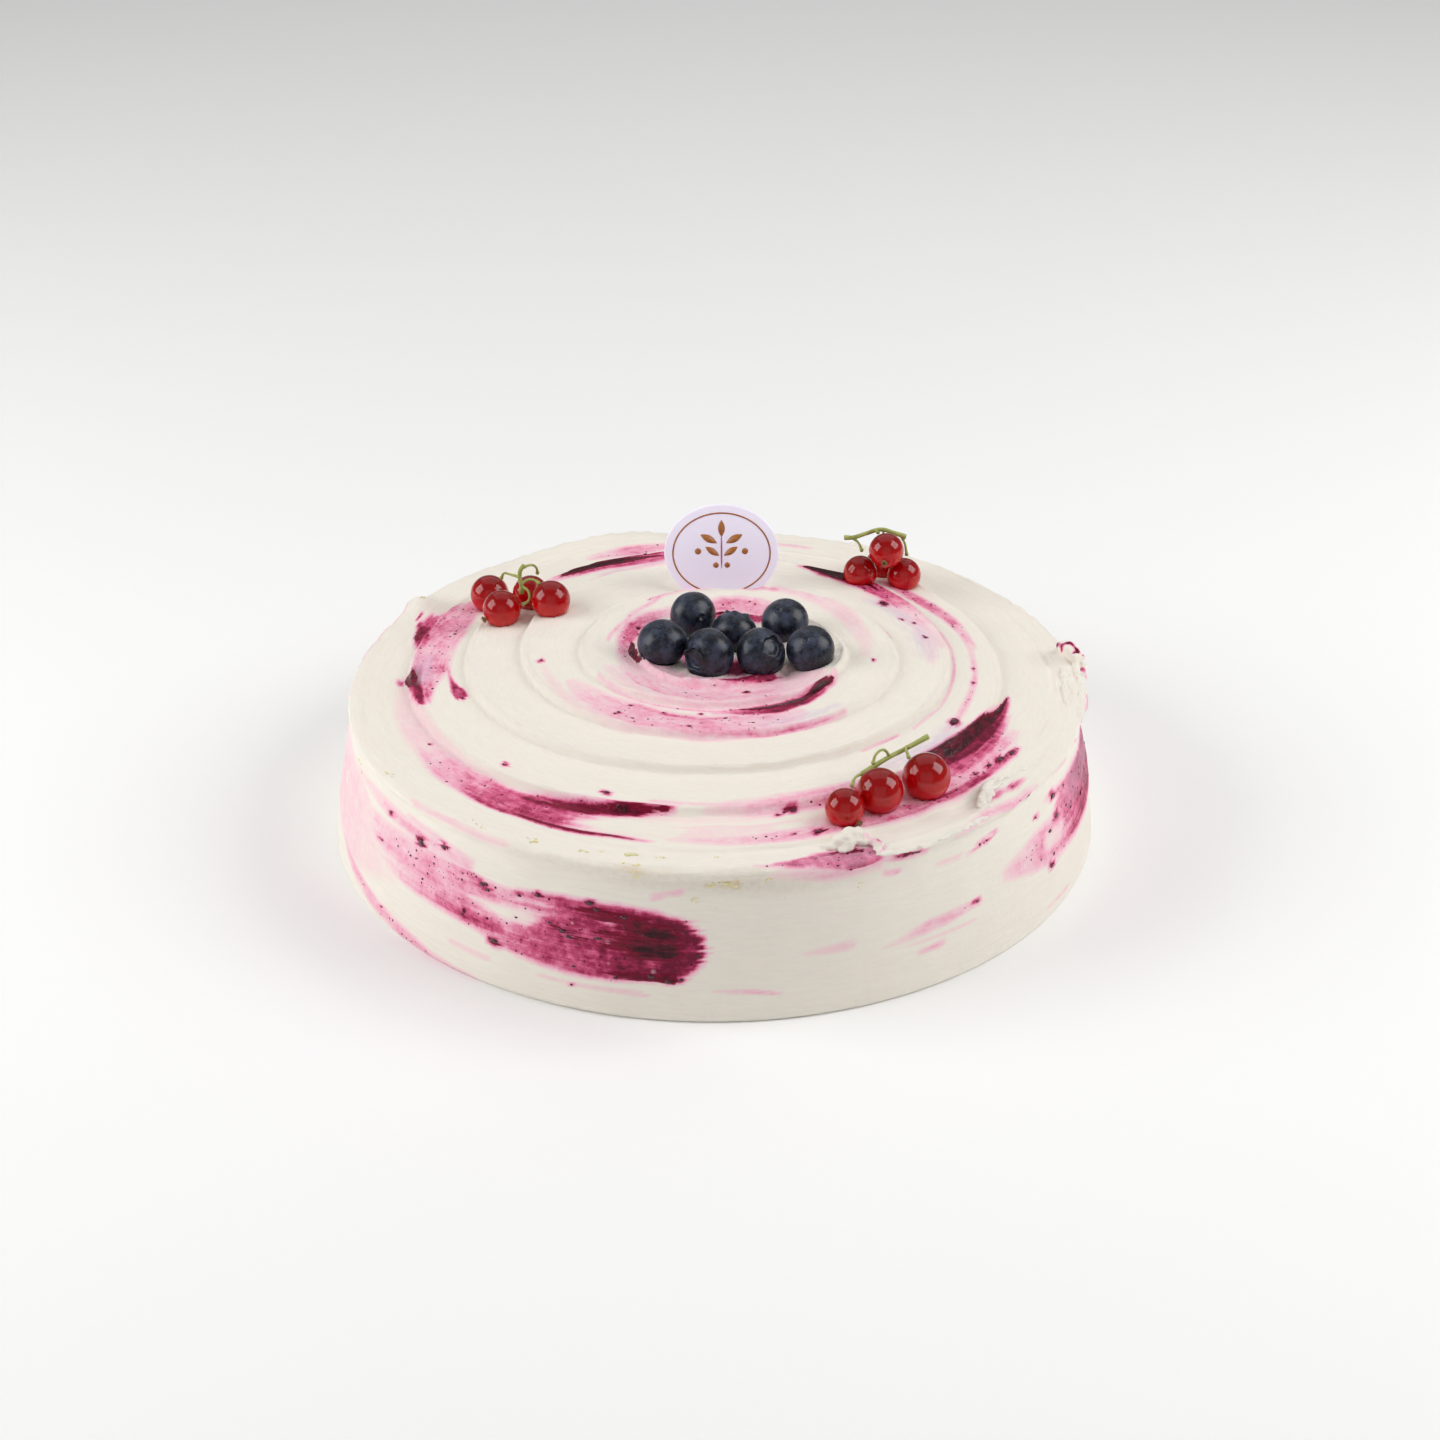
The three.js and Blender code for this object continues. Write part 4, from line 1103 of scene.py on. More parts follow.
LILAC_VEILS = [
    (2.2, [(284, 43.5, 1.5, 0.9), (298, 44.2, 2, 0.9), (311, 43.8, 1.2, 0.7)]),
    (2.6, [(296, 70.5, 1, 0.6), (312, 70.3, 2.4, 0.9), (331, 70, 1.8, 0.9)]),
    (2.6, [(0, 56, 3, 0.6), (25, 55.5, 3, 0.7), (38, 53, 2, 0.6)]),
    (1.8, [(104, 66, 1.5, 0.7), (121, 65.5, 1.2, 0.7)]),
    (2.2, [(171, 80.6, 1.5, 0.6), (181, 80.6, 3, 0.75)]),
]
LILAC_VEILS += on_side([
    (1.0, [(-81, 40.6, 0.8, 0.2), (-74, 41.4, 2, 0.35), (-67, 41, 2.6, 0.35)]),
    (2.6, [(-22, 28, 4, 0.35), (-8, 28, 6, 0.48), (10, 27, 6, 0.42)]),
])
WIPED = [
    (1.0, [(245, 84, 0.4, 0.9), (252, 82.6, 2.4, 0.95), (262, 81.5, 3.6, 0.7)]),
    (1.2, [(110, 66.5, 0.8, 0.7), (124, 66, 1, 0.7)]),
    (1.6, [(256, 79.8, 1, 0.7), (288, 79.2, 1.4, 0.8), (298, 79, 0.6, 0.3)]),
]
WIPED += on_side([
    (1.3, [(-127.5, 22.3, 0.2, 0.9), (-122, 21.6, 2, 0.95), (-117.5, 22, 2.2, 0.8),
           (-114, 24.2, 0.6, 0.3)]),
    (0.8, [(-120, 26, 0.5, 0.7), (-114.5, 26, 0.5, 0.5)]),
    (1.2, [(-106, 25.2, 0.8, 0.4), (-104.5, 25.4, 0.8, 0.4)]),
    (2.0, [(-31.5, 22, 2.2, 0.8), (-27.5, 22, 2, 0.6)]),
])


def strength(angle, run, strokes):
    """The strongest stroke over each place, from 0 to 1."""
    best = np.zeros_like(run)
    degrees = np.degrees(angle)
    for soft, points in strokes:
        turns, runs, halves, amounts = np.array(points, float).T
        middle = (turns[0] + turns[-1]) / 2
        near = (degrees - middle + 180) % 360 + middle - 180
        along = np.clip(near, turns[0], turns[-1])
        aside = run - np.interp(along, turns, runs)
        beyond = np.radians(near - along) * np.clip(run, 15, BASE_RADIUS)
        inside = np.interp(along, turns, halves) - np.hypot(aside, beyond)
        best = np.maximum(best, np.interp(along, turns, amounts) * smoothstep(inside, -soft, soft))
    return best


print("strokes of jam:", len(FILMS) + len(THICK_JAM) + len(LILAC_VEILS))

# %% [markdown]
# ## The cream's material
# Cream scatters light under its skin, which is what makes it look soft and not like plaster.
# Thin jam stains it from blush to magenta, in streaks along the knife's way; thick jam is
# nearly black, smooth and wet. The strokes arrive as attributes of the mesh, and noise that
# is stretched along the swirl tears their edges. One more attribute turns the cream yellow
# and crumb-like where the sponge shows through, and grey as painted shade under the front lip.

# %% Streaks, stains and wet jam
cream, tree, shader = clear_material(
    "cream_and_jam", Subsurface_Weight=0.15, Subsurface_Scale=2 * MM, Specular_IOR_Level=0.18,
    Coat_Roughness=0.06,
)
shader.inputs["Subsurface Radius"].default_value = (1.0, 0.75, 0.55)
knife = node(tree, "ShaderNodeAttribute", attribute_name="knife").outputs["Vector"]
thin, thick, lilac, sponge = (
    node(tree, "ShaderNodeAttribute", attribute_name=film).outputs["Fac"]
    for film in ("thin_jam", "thick_jam", "lilac_jam", "sponge")
)


def knife_noise(along, across, detail):
    """Noise that follows the swirl: along counts waves a turn, and across waves a millimetre."""
    pulled = node(
        cream.node_tree, "ShaderNodeMapping", ("Vector", knife), ("Scale", (along, along, across))
    )
    return node(
        cream.node_tree, "ShaderNodeTexNoise", ("Vector", pulled.outputs[0]), ("Scale", 1.0),
        ("Detail", detail), ("Roughness", 0.6),
    ).outputs["Fac"]


long_streaks = knife_noise(4.0, 0.5, 4.0)
fine_streaks = knife_noise(14.0, 1.6, 3.0)
long_share = maths(tree, "MULTIPLY", long_streaks, 0.6)
streaks = maths(tree, "MULTIPLY_ADD", fine_streaks, 0.4, long_share)
uneven = maths(tree, "SUBTRACT", streaks, 0.5)
blots = maths(tree, "SUBTRACT", mottled(tree, 170.0, 1.5), 0.5)
grain = maths(tree, "SUBTRACT", mottled(tree, 620.0, 2.2), 0.5)
change = maths(tree, "MULTIPLY_ADD", uneven, 0.7, maths(tree, "MULTIPLY", blots, 0.42))
change = maths(tree, "MULTIPLY_ADD", grain, 0.2, change)
change = maths(tree, "MULTIPLY", change, between(tree, thin, 0.02, 0.35))
film = maths(tree, "ADD", thin, change, clamp=True)
STAIN = [
    (0.0, (247, 240, 227)), (0.12, (249, 225, 223)), (0.3, (250, 206, 217)),
    (0.5, (246, 170, 195)), (0.7, (220, 100, 142)), (0.85, (172, 46, 88)), (1.0, (114, 16, 50)),
]
clouds = maths(tree, "MULTIPLY", mottled(tree, 28.0, 1.3), 0.5)
pale_lines = between(tree, fine_streaks, 0.35, 0.65)
bare_cream = blend(tree, pale_lines, picked(248, 242, 230), picked(245, 238, 226))
bare_cream = blend(tree, clouds, bare_cream, picked(243, 235, 226))
# scraped cream and the painted shade under the lip, broken up by the grain
scraped = maths(tree, "MULTIPLY", sponge, between(tree, grain, -0.35, 0.35, 0.35, 1.0))
to_sponge = between(tree, sponge, 0.4, 0.9)
# painted shade and sponge: the grey-beige start is painted shade under the front lip, the yellow
# end is the sponge
crumb_and_shade_tone = blend(tree, to_sponge, picked(222, 211, 196), picked(226, 204, 160))
bare_cream = blend(tree, scraped, bare_cream, crumb_and_shade_tone)
colour = blend(tree, between(tree, film, 0.0, 0.1), bare_cream, ramp(tree, film, STAIN))
veil = maths(tree, "MULTIPLY", lilac, between(tree, streaks, 0.38, 0.6, 0.2, 0.85))
colour = blend(tree, veil, colour, picked(222, 204, 222))
print("tones of the stain:", len(STAIN))

# %% Specks of skin, curds of cream, and the jam that is still wet
in_film = between(tree, thin, 0.15, 0.5)
large_specks = flecked(tree, 330.0, 0.45, 0.16)
small_specks = flecked(tree, 800.0, 0.6, 0.3)
specks = maths(tree, "MULTIPLY", maths(tree, "MAXIMUM", large_specks, small_specks), in_film)
colour = blend(tree, between(tree, specks, 0.25, 0.6), colour, picked(92, 16, 46))
curds = maths(tree, "MULTIPLY", flecked(tree, 450.0, 0.55, 0.12), in_film)
curds = maths(tree, "MULTIPLY", curds, 0.45)
colour = blend(tree, curds, colour, picked(246, 214, 222))

torn = maths(tree, "MULTIPLY_ADD", uneven, 1.5, maths(tree, "MULTIPLY", blots, 0.3))
ragged = maths(tree, "MULTIPLY_ADD", torn, between(tree, thick, 0.0, 0.2), thick)
wet = between(tree, ragged, 0.42, 0.6)
lumps = mottled(tree, 420.0, 2.2)
deep = between(tree, maths(tree, "MULTIPLY_ADD", lumps, 0.3, ragged), 0.75, 1.25)
wet_jam = blend(tree, deep, picked(128, 12, 48), picked(46, 2, 16))
feed(
    tree, shader, Base_Color=blend(tree, wet, colour, wet_jam),
    Roughness=between(tree, wet, 0.0, 1.0, 0.5, 0.16),
    Coat_Weight=maths(tree, "MULTIPLY", deep, maths(tree, "MULTIPLY", wet, 0.08)),
)

chatter = knife_noise(55.0, 0.35, 2.0)
pores = flecked(tree, 480.0, 0.3, 0.12)
relief = maths(tree, "MULTIPLY_ADD", chatter, 0.3, fine_streaks)
relief = maths(tree, "MULTIPLY_ADD", pores, -0.5, relief)
relief = maths(tree, "ADD", maths(tree, "MULTIPLY", lumps, wet), relief)
relief = maths(tree, "MULTIPLY_ADD", maths(tree, "MULTIPLY", grain, sponge), 1.2, relief)
bump(tree, shader, relief, 0.7, 0.36 * MM)
print("made", cream.name, "with", len(tree.nodes), "nodes")

# %% [markdown]
# ## The coat of cream
# The whole cake is one turned body. A half outline with an even, fine spacing is spun round
# the axis, and then every vertex is moved as the knife would have moved it: the top drifts to
# the swirl's centre and takes the terraces, the lip and the dimples under the berries, and
# the side takes faint waves.

# %% The outline of the whole cake
FOOT_ROUNDING = 1.2
SHOULDER_DROP, SHOULDER_REACH = 1.5, 1.0
TOP_EDGE = RIM_RADIUS - 0.5
CAKE_STEPS = 372
SIDE_ROWS, TOP_ROWS, FLOOR_ROWS, ARC_ROWS = 60, 186, 3, 6


def cake_outline():
    """From the middle of the underside, up the side and over the shoulder, to the top's middle."""
    outline = [((BASE_RADIUS - FOOT_ROUNDING) * row / FLOOR_ROWS, 0) for row in range(FLOOR_ROWS)]
    for row in range(ARC_ROWS):
        turn = math.pi / 2 * row / ARC_ROWS
        outline.append((
            BASE_RADIUS - FOOT_ROUNDING * (1 - math.sin(turn)), FOOT_ROUNDING * (1 - math.cos(turn))
        ))
    wall_top = (RIM_RADIUS + SHOULDER_REACH, RIM_HEIGHT - SHOULDER_DROP)
    for row in range(SIDE_ROWS):
        share = row / SIDE_ROWS
        outline.append((
            BASE_RADIUS + (wall_top[0] - BASE_RADIUS) * share,
            FOOT_ROUNDING + (wall_top[1] - FOOT_ROUNDING) * share,
        ))
    for row in range(ARC_ROWS):
        turn = math.pi / 2 * row / ARC_ROWS
        outline.append((
            TOP_EDGE + (wall_top[0] - TOP_EDGE) * math.cos(turn),
            wall_top[1] + SHOULDER_DROP * math.sin(turn),
        ))
    outline += [(TOP_EDGE * (1 - row / TOP_ROWS), RIM_HEIGHT) for row in range(TOP_ROWS + 1)]
    return outline


cake_body = spun(cake_outline(), CAKE_STEPS)
triangles = sum(len(face.verts) - 2 for face in cake_body.faces)
print("triangles of the cream:", triangles)

# %% Where each vertex lies, and how much jam it carries
END_TEAR = math.radians(1.1)
EDGE_SWAY = 0.7


def ripple(waves, run, length):
    """Smooth noise round the cake: so many waves a turn, and a length across the run."""
    return np.array([
        noise.noise(Vector((waves * math.cos(a), waves * math.sin(a), s / length)))
        for a, s in zip(angle, run)
    ])


x, y, z = np.array([vertex.co for vertex in cake_body.verts]).T
radius = np.hypot(x, y)
angle = np.arctan2(y, x) % math.tau
on_top = z > RIM_HEIGHT - 1e-3
on_wall = (z > FOOT_ROUNDING) & ~on_top
run = np.where(on_top, radius, RUN_AT_RIM - z)

torn_angle = angle + END_TEAR * ripple(3, run, 0.8)
torn_run = run + EDGE_SWAY * ripple(5, run, 6)
thin_jam = strength(torn_angle, torn_run, FILMS) * (1 - strength(torn_angle, torn_run, WIPED))
thick_jam = strength(torn_angle, torn_run, THICK_JAM)
lilac_jam = strength(torn_angle, torn_run, LILAC_VEILS)
# the sponge that shows through, and the painted shade under the front lip
sponge = strength(torn_angle, torn_run, SPONGE_AND_LIP_SHADE)
print("share of the cream under jam:", round(float((thin_jam > 0.2).mean()), 2))

# %% The ragged lip: its crest, where it hangs over, and the groove below it
LIP_RAG, LIP_GROOVE, GROOVE_TURN = 0.55, 1.1, -98
OVERHANGS = [
    # angle in degrees, length along the rim, and how far the lip hangs out
    (-69, 4.5, 0.6), (-41, 4, 0.8), (-52, 9, 0.5), (-20, 16, 0.8), (5, 6, 2.6), (-5, 9, 2.2),
    (151, 4, 1), (116, 9, 0.6), (-118, 12, 0.4), (62, 8, 0.5),
]
past_rim = run - RIM_RADIUS


def rim_ripple(waves, row=0):
    """Smooth noise that changes along the rim only; another row gives another noise."""
    return ripple(waves, np.full_like(run, row), 1)


rag = LIP_RAG * (rim_ripple(30) + 0.6 * rim_ripple(75, row=3))
lip_rag = rag * bell(past_rim + 0.8, 1.8)
ridge_share = 0.3 + 0.7 * np.clip(rim_ripple(2, row=9) + np.cos(angle + 0.5), 0, 1)
lip_ridge = ridge_share * (0.7 + 0.5 * rim_ripple(18)) * bell(past_rim + 1.6, 1.1)
hang = 0.7 * np.clip(rag, 0, None)
for turn, along, reach in OVERHANGS:
    hang = hang + reach * bell(RIM_RADIUS * turned_from(angle, turn), along)
overhang = hang * bell(past_rim - 0.9, 1.8)
groove_share = 0.4 + 0.6 * smoothstep(np.cos(angle - math.radians(GROOVE_TURN)), 0.5, 0.85)
step_in = smoothstep(past_rim, 1.3, 2.4) - smoothstep(past_rim, 3, 12)
undercut = 0.35 * hang * bell(past_rim - 3.6, 1.6) + LIP_GROOVE * groove_share * step_in
print("the lip hangs out by up to", round(float(overhang.max()), 1), "mm")

# %% Every vertex moved as the knife moved it
SIDE_WAVE, SIDE_WAVE_RISE, WAVES_END = 0.4, 7, 3
BERRY_ROOM = 0.05
MOUND_REACH = 1.25

jam_body = 0.25 * smoothstep(thick_jam, 0.3, 0.8)
body = 0.14 * ripple(6, run, 2.5) + 0.3 * ripple(9, run, 14) + jam_body
drift = np.clip(1 - radius / RIM_RADIUS, 0, None)
height = RIM_HEIGHT + dome_height(radius) + turn_height(radius, angle) + lip_height(radius, angle)
near_rim = smoothstep(z, RIM_HEIGHT - WAVES_END, RIM_HEIGHT)
wave = SIDE_WAVE * np.sin(2 * angle + z / SIDE_WAVE_RISE)
out = radius + overhang * (on_wall | on_top)
out = out + np.where(on_wall, (wave + body) * (1 - near_rim) - undercut, 0)
new_x = out * np.cos(angle) + np.where(on_top, SWIRL_CENTRE[0] * drift, 0)
new_y = out * np.sin(angle) + np.where(on_top, SWIRL_CENTRE[1] * drift, 0)
lifted = near_rim * lip_height(RIM_RADIUS, angle) + lip_rag
new_z = np.where(on_top, height + body + lip_rag + lip_ridge, z + np.where(on_wall, lifted, 0))
mound = np.zeros_like(new_z)
for centre, ball, rise in pressed:
    aside = (new_x - centre.x) ** 2 + (new_y - centre.y) ** 2
    mound = np.maximum(mound, rise * np.exp(-aside / (MOUND_REACH * ball) ** 2))
new_z = new_z + np.where(on_top, mound, 0)
for centre, ball, rise in pressed:
    aside = (new_x - centre.x) ** 2 + (new_y - centre.y) ** 2
    under = centre.z - np.sqrt(np.clip(ball ** 2 - aside, 0, None)) - BERRY_ROOM
    new_z = np.where(on_top & (aside < ball ** 2), np.minimum(new_z, under), new_z)
print("highest cream:", round(float(new_z.max()), 2), "mm")

# %% The cream takes its attributes and its place


def remember_jam(bm, ways, films):
    """Writes the knife's way, the three films of jam, and the sponge with its painted shade under
    the lip, on every vertex.
    """
    way_layer = bm.verts.layers.float_vector.new("knife")
    names = ("thin_jam", "thick_jam", "lilac_jam", "sponge")
    film_layers = [bm.verts.layers.float.new(name) for name in names]
    for vertex, way, amounts in zip(bm.verts, ways, films):
        vertex[way_layer] = way
        for layer, amount in zip(film_layers, amounts):
            vertex[layer] = amount


remember_jam(
    cake_body,
    np.stack([np.cos(angle), np.sin(angle), run], 1).tolist(),
    np.stack([thin_jam, thick_jam, lilac_jam, sponge], 1).tolist(),
)
for vertex, place in zip(cake_body.verts, np.stack([new_x, new_y, new_z], 1).tolist()):
    vertex.co = place
cream_tree = BVHTree.FromBMesh(cake_body)
cream_piece = finish_piece("cream_coat", cake_body, [cream], ["cake"])
print(cream_piece.name, "has", len(cream_piece.data.vertices), "vertices")

# %% [markdown]
# ## Curls of cream on the rim
# Where the knife left the rim it tore small curls loose: they stand up, lean out and hang over
# the side, which a height over the round body can't do. One large lump would look like a
# pebble. So each curl is a short string of small rough lumps, and a voxel remesh fuses them
# with soft seams, as soft cream does by itself. Some were torn from a smear: they carry jam.

# %% The curls, laid round the rim
CURLS = [
    # points of angle, run and lift; how many lumps, how thick, how far stretched; and the jam
    ([(-72, 92.2, 0.1), (-70, 91.4, 0.9), (-68.4, 91, 1.4), (-66.8, 91.6, 1.2)], 17, 1.7, 1.2, 0.0),
    ([(-70.4, 93.6, 0), (-68.4, 93, 0.7), (-66.6, 93.6, 0.8)], 11, 1.5, 1.2, 0.0),
    ([(-66.4, 92.6, 1), (-65.2, 94.6, 0.9), (-65.4, 97, 0.2)], 10, 1.3, 1.0, 0.3),
    ([(-44.6, 95.6, -0.1), (-43.4, 93, 0.2), (-41, 91, 0.4), (-38.4, 90, 0.2), (-33, 92, -0.1),
      (-28, 94.6, -0.2), (-23, 96.4, -0.3)], 38, 1.05, 1.9, 0.0),
    ([(-42.6, 94.4, 0.1), (-40.4, 92.6, 0.3), (-38, 92, 0)], 10, 1.0, 1.5, 0.0),
    ([(7.6, 96.4, 0.8), (6.6, 97.4, 1.3), (5.4, 98.4, 1)], 7, 2.7, 1.0, 0.7),
    ([(5, 98.6, 0.3), (0, 99.4, 0), (-6, 99.4, -0.3), (-12, 98.8, -0.6)], 26, 1.2, 2.4, 0.0),
    ([(6, 100.8, -0.2), (3.4, 101.2, -0.5), (0.6, 100.8, -0.8)], 9, 1.1, 1.8, 0.9),
    ([(2, 95.6, 0.2), (-2, 94.8, 0.2), (-6, 94.8, 0.3), (-10, 96, 0)], 14, 1.1, 2.2, 0.0),
    ([(-65.2, 98.2, -0.4), (-60, 98.7, -0.5), (-54, 98.7, -0.5), (-47, 98.2, -0.3)],
     34, 0.8, 2.6, 0.0),
    ([(64, 96.6, 0), (60, 97, 0.1), (57, 96.8, 0)], 8, 1.2, 2.0, 0.0),
]
CURL_SEED, CURL_VOXEL = 3, 0.32
CURL_SOFTENING = 6

lumps = bmesh.new()
draw = random.Random(CURL_SEED)
jammed = []
for points, count, thick, stretch, jam in CURLS:
    shares = np.linspace(0, len(points) - 1, count)
    route = [np.interp(shares, range(len(points)), values) for values in zip(*points)]
    for turn, out, lift in zip(*route):
        turn = math.radians(turn + draw.uniform(-0.3, 0.3))
        out = out + draw.uniform(-0.4, 0.4)
        lift = lift + draw.uniform(-0.2, 0.2)
        ground = RIM_HEIGHT + dome_height(out) + lip_height(min(out, RIM_RADIUS), turn)
        middle = Vector((out * math.cos(turn), out * math.sin(turn), ground + lift))
        jammed.append((middle, jam))
        size = thick * draw.uniform(0.7, 1.2)
        sized = Matrix.Diagonal((size * 0.75, size * stretch, size * draw.uniform(0.5, 0.75), 1))
        turned = Matrix.Rotation(turn + draw.uniform(-0.4, 0.4), 4, "Z")
        bmesh.ops.create_icosphere(
            lumps, subdivisions=2, radius=1, matrix=Matrix.Translation(middle) @ turned @ sized
        )
lump_mesh = bpy.data.meshes.new("lumps")
lumps.to_mesh(lump_mesh)
lumps.free()
fused = bpy.data.objects.new("lumps", lump_mesh)
bpy.context.collection.objects.link(fused)
remesh = fused.modifiers.new("fuse", "REMESH")
remesh.mode, remesh.voxel_size = "VOXEL", CURL_VOXEL
smooth = fused.modifiers.new("soften", "SMOOTH")
smooth.factor, smooth.iterations = 0.5, CURL_SOFTENING
curls = bmesh.new()
curls.from_object(fused, bpy.context.evaluated_depsgraph_get())
bpy.data.objects.remove(fused)
print("faces of the fused curls:", len(curls.faces))

# %% The curls crinkle, and take their jam
CURL_CRINKLES = ((1.6, 0.26), (0.7, 0.1))
CURL_SPOTS = 2.8

for vertex in curls.verts:
    vertex.co += vertex.normal * sum(
        depth * noise.noise(vertex.co / length) for length, depth in CURL_CRINKLES
    )
ways, films = [], []
for vertex in curls.verts:
    out = math.hypot(vertex.co.x, vertex.co.y)
    ways.append((vertex.co.x / out, vertex.co.y / out, out))
    middle, jam = min(jammed, key=lambda lump: (lump[0] - vertex.co).length_squared)
    blotch = noise.noise(vertex.co / CURL_SPOTS)
    films.append((
        jam * float(smoothstep(blotch, -0.1, 0.3)), jam * float(smoothstep(blotch, 0.1, 0.4)), 0, 0
    ))
remember_jam(curls, ways, films)
piece = finish_piece("cream_curls", curls, [cream])
print(piece.name, "has", len(CURLS), "curls")

# %% [markdown]
# ## Bits of berry skin
# The jam is full of dark bits of skin, some as fine as ground pepper and a few as large as a
# sesame seed. The finest stay in the material, but the larger ones stand up and glint, so
# they are real lumps: small icospheres, flattened on the cream and pulled along the knife's
# way. A particle system could strew them, but it would not outlast an export as meshes.

# %% A helper that finds the cream, and one that lays a lump on it


def on_cream(turn, run):
    """The place on the cream and its normal, for an angle in degrees and a run."""
    way = Vector((math.cos(math.radians(turn)), math.sin(math.radians(turn)), 0))
    if run < TOP_EDGE:
        start = way * run + Vector((*SWIRL_CENTRE, 0)) * (1 - run / RIM_RADIUS)
        place, normal, *_ = cream_tree.ray_cast(start + Vector((0, 0, 200)), Vector((0, 0, -1)))
    else:
        start = way * 200 + Vector((0, 0, min(RUN_AT_RIM - run, RIM_HEIGHT - 0.5)))
        place, normal, *_ = cream_tree.ray_cast(start, -way)
    return place, normal, way


def lay_lump(bm, turn, run, length, width, thickness, faceting, draw):
    """A flattened, uneven lump that lies along the knife's way on the cream."""
    place, normal, way = on_cream(turn, run)
    across = normal.cross(Vector((-way.y, way.x, 0))).normalized()
    along = across.cross(normal)
    turned = Matrix((along, across, normal)).transposed().to_4x4()
    sized = Matrix.Diagonal((length / 2, width / 2, thickness / 2, 1))
    made = bmesh.ops.create_icosphere(
        bm, subdivisions=faceting, radius=1, matrix=Matrix.Translation(place) @ turned @ sized
    )
    for vertex in made["verts"]:
        vertex.co += (vertex.co - place) * draw.uniform(-0.3, 0.25)


print("cream under the first bit:", [round(v, 1) for v in on_cream(*BIT_SPOTS[0][:2])[0]], "mm")

# %% The bits, wet and nearly black
bit_skin, tree, shader = clear_material("berry_bits", Roughness=0.24, Coat_Weight=0.4)
tint = mottled(tree, 900.0, 2.5)
feed(tree, shader, Base_Color=blend(tree, tint, picked(38, 8, 22), picked(92, 20, 50)))
bump(tree, shader, tint, 0.4, 0.1 * MM)

BITS, BIT_SEED = 380, 11
BIT_THICKNESS, SMALL_BIT_THICKNESS = 0.4, 0.3
ENOUGH_JAM = 0.35

bits = bmesh.new()
draw = random.Random(BIT_SEED)
for turn, spot_run, length in BIT_SPOTS:
    width = length * draw.uniform(0.45, 0.75)
    lay_lump(bits, turn, spot_run, length, width, BIT_THICKNESS, 2, draw)
jammy = np.flatnonzero(thin_jam + thick_jam > ENOUGH_JAM)
chances = np.where(on_top, radius, BASE_RADIUS)[jammy] * (thin_jam + thick_jam)[jammy]
for index in draw.choices(jammy.tolist(), weights=chances.tolist(), k=BITS):
    length = 0.4 + 1.0 * draw.random() ** 5
    turn = math.degrees(angle[index]) + draw.uniform(-0.5, 0.5)
    spot_run = run[index] + draw.uniform(-0.3, 0.3)
    width = length * draw.uniform(0.5, 0.9)
    lay_lump(bits, turn, spot_run, length, width, SMALL_BIT_THICKNESS, 1, draw)
piece = finish_piece("berry_bits", bits, [bit_skin])
print(piece.name, "has", len(piece.data.polygons), "faces")

# %% [markdown]
# ## Crumbs of sponge
# Where the knife scraped the rim it brought up a few yellow crumbs of the sponge beneath.
# They lie in small heaps, most of them along the front of the rim and in one dry patch below.

# %% The crumbs
crumb_skin, tree, shader = clear_material("sponge_crumbs", Roughness=0.85)
toast = mottled(tree, 1500.0, 3.0)
feed(tree, shader, Base_Color=blend(tree, toast, picked(228, 216, 148), picked(246, 238, 204)))
bump(tree, shader, toast, 0.6, 0.1 * MM)

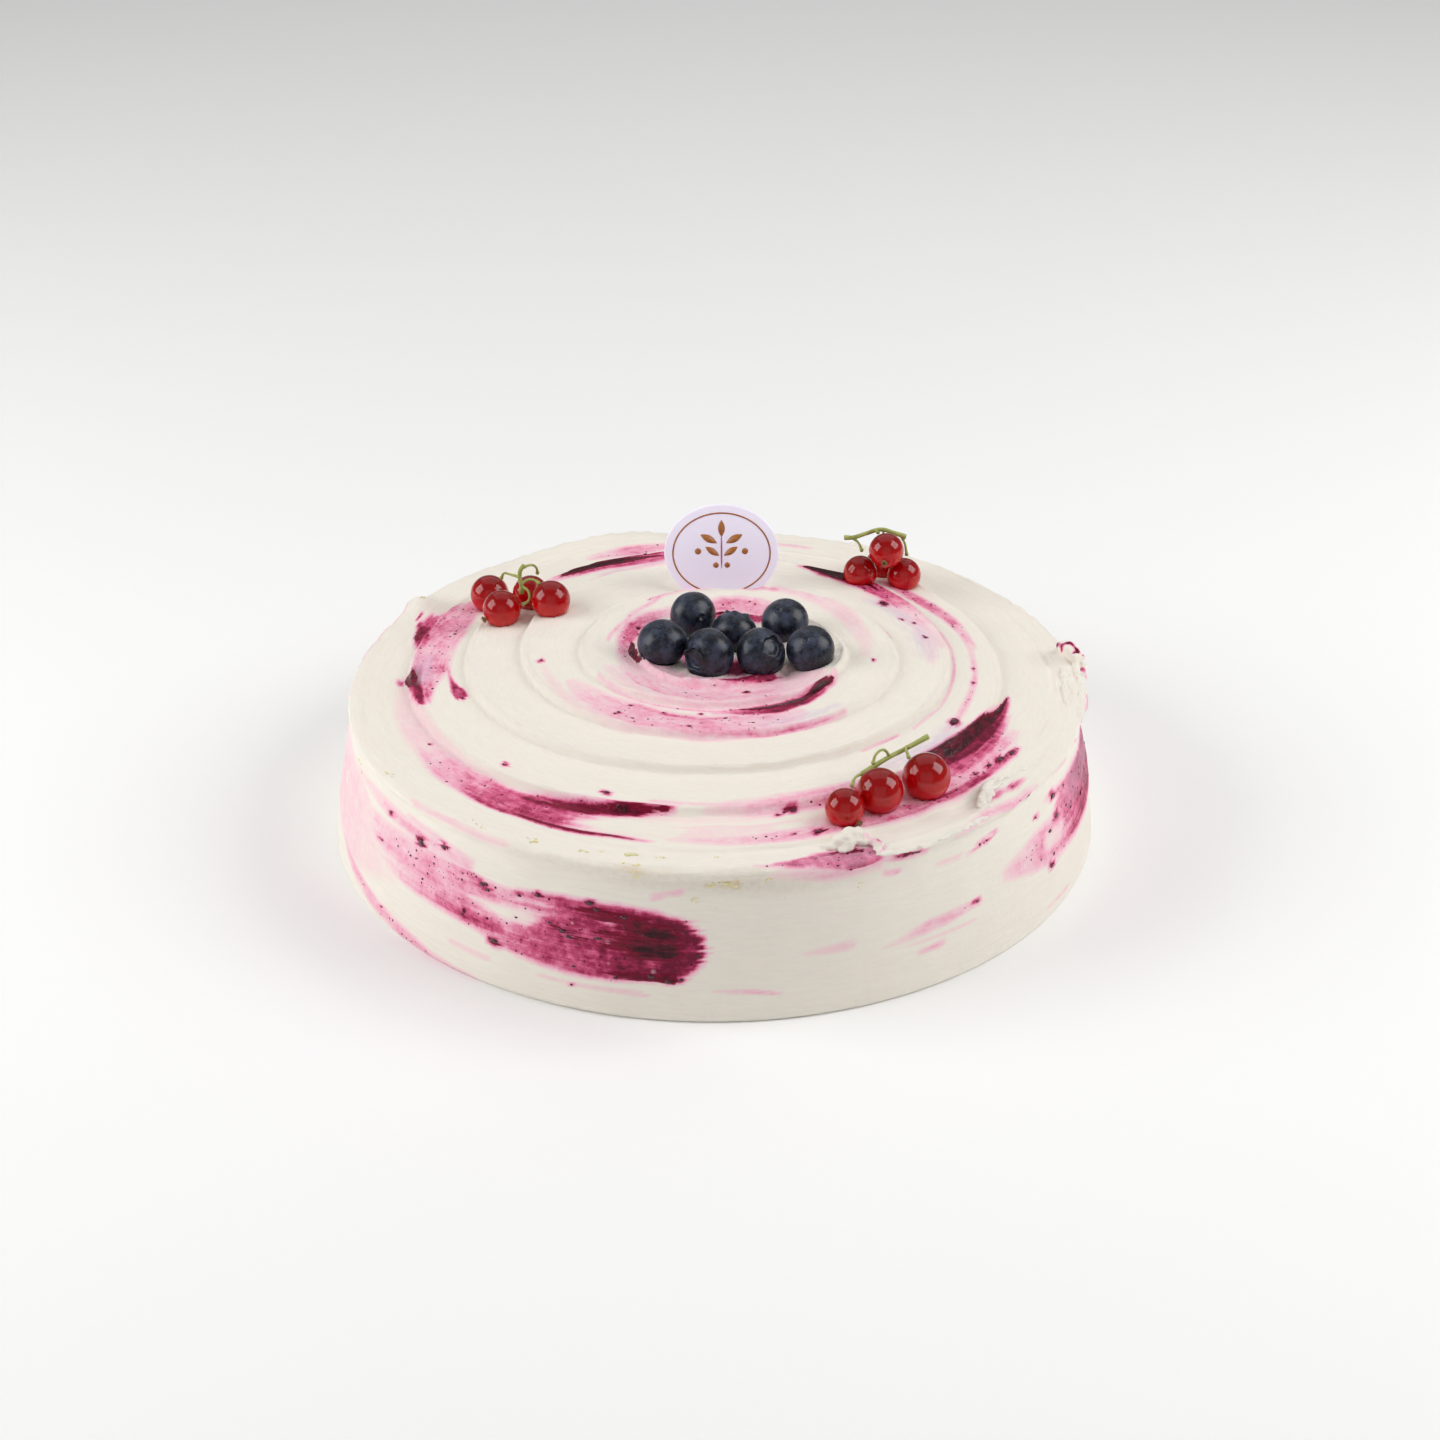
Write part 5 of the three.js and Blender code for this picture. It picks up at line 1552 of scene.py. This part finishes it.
CRUMB_SEED = 5
CRUMB_WIDTH, CRUMB_THICKNESS = 0.7, 0.4
CRUMB_HEAPS = [
    # angle in degrees, run and spread in millimetres; how many crumbs, and how long they are
    (-118, 95.8, 2.4, 7, 1.2), (-110, 95.4, 1.6, 5, 0.9), (-107.6, 94, 1, 4, 0.8),
    (-103, 93.6, 1.8, 9, 1.7), (-98.6, 93.6, 1.6, 5, 0.9), (-90, 92.6, 1, 3, 0.8),
    (-128, 96.4, 4, 6, 0.9), (-150, 97, 3, 5, 1), (-102, RUN_AT_RIM - 39.2, 3.4, 10, 1),
    (-91, RUN_AT_RIM - 36.8, 1.8, 8, 1), (-88, RUN_AT_RIM - 37.2, 2.4, 16, 1.1),
    (-93, RUN_AT_RIM - 33, 2, 6, 0.8), (-82, RUN_AT_RIM - 37.6, 2.4, 7, 0.8),
    (-69, RUN_AT_RIM - 33.5, 3, 4, 0.8), (62, 95.4, 4, 7, 1.2), (150, 95, 3, 5, 1),
    (-160, RUN_AT_RIM - 34, 4, 5, 0.9),
]

crumbs = bmesh.new()
draw = random.Random(CRUMB_SEED)
for heap_turn, heap_run, spread, count, usual in CRUMB_HEAPS:
    for _ in range(count):
        length = usual * draw.uniform(0.4, 1.3)
        turn = heap_turn + math.degrees(draw.gauss(0, spread / 2) / RIM_RADIUS)
        spot_run = heap_run + draw.gauss(0, spread / 4)
        lay_lump(crumbs, turn, spot_run, length, CRUMB_WIDTH * length, CRUMB_THICKNESS, 1, draw)
piece = finish_piece("sponge_crumbs", crumbs, [crumb_skin])
print(piece.name, "has", len(piece.data.polygons), "faces")

# %% [markdown]
# ## The floor
# A pale sheet runs under the cake far beyond the picture. It is only the stage.

# %% A pale floor
FLOOR_HALF = 3000
floor_paper, tree, shader = clear_material("floor_paper", Roughness=0.9)
paper = mottled(tree, 3.0, 1.0)
feed(tree, shader, Base_Color=blend(tree, paper, picked(253, 253, 253), picked(255, 255, 255)))

ground = bmesh.new()
bmesh.ops.create_grid(ground, x_segments=1, y_segments=1, size=FLOOR_HALF * MM)
floor_mesh = bpy.data.meshes.new("floor")
ground.to_mesh(floor_mesh)
ground.free()
floor_mesh.materials.append(floor_paper)
floor = bpy.data.objects.new("floor", floor_mesh)
bpy.context.collection.objects.link(floor)
floor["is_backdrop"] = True
print("floor laid")

# %% [markdown]
# ## The size, before and after
# Both boxes are measured, and how far the dressed cake grows past its frame on each side is
# printed. The dressed cake must stay the size of its frame.

# %% Both boxes, and how far the dressing grows past the frame
new_low, new_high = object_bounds()
for side_name, growth in (("low", cad_low - new_low), ("high", new_high - cad_high)):
    print("grown at the", side_name, "side by", [round(v / MM, 2) for v in growth], "mm")
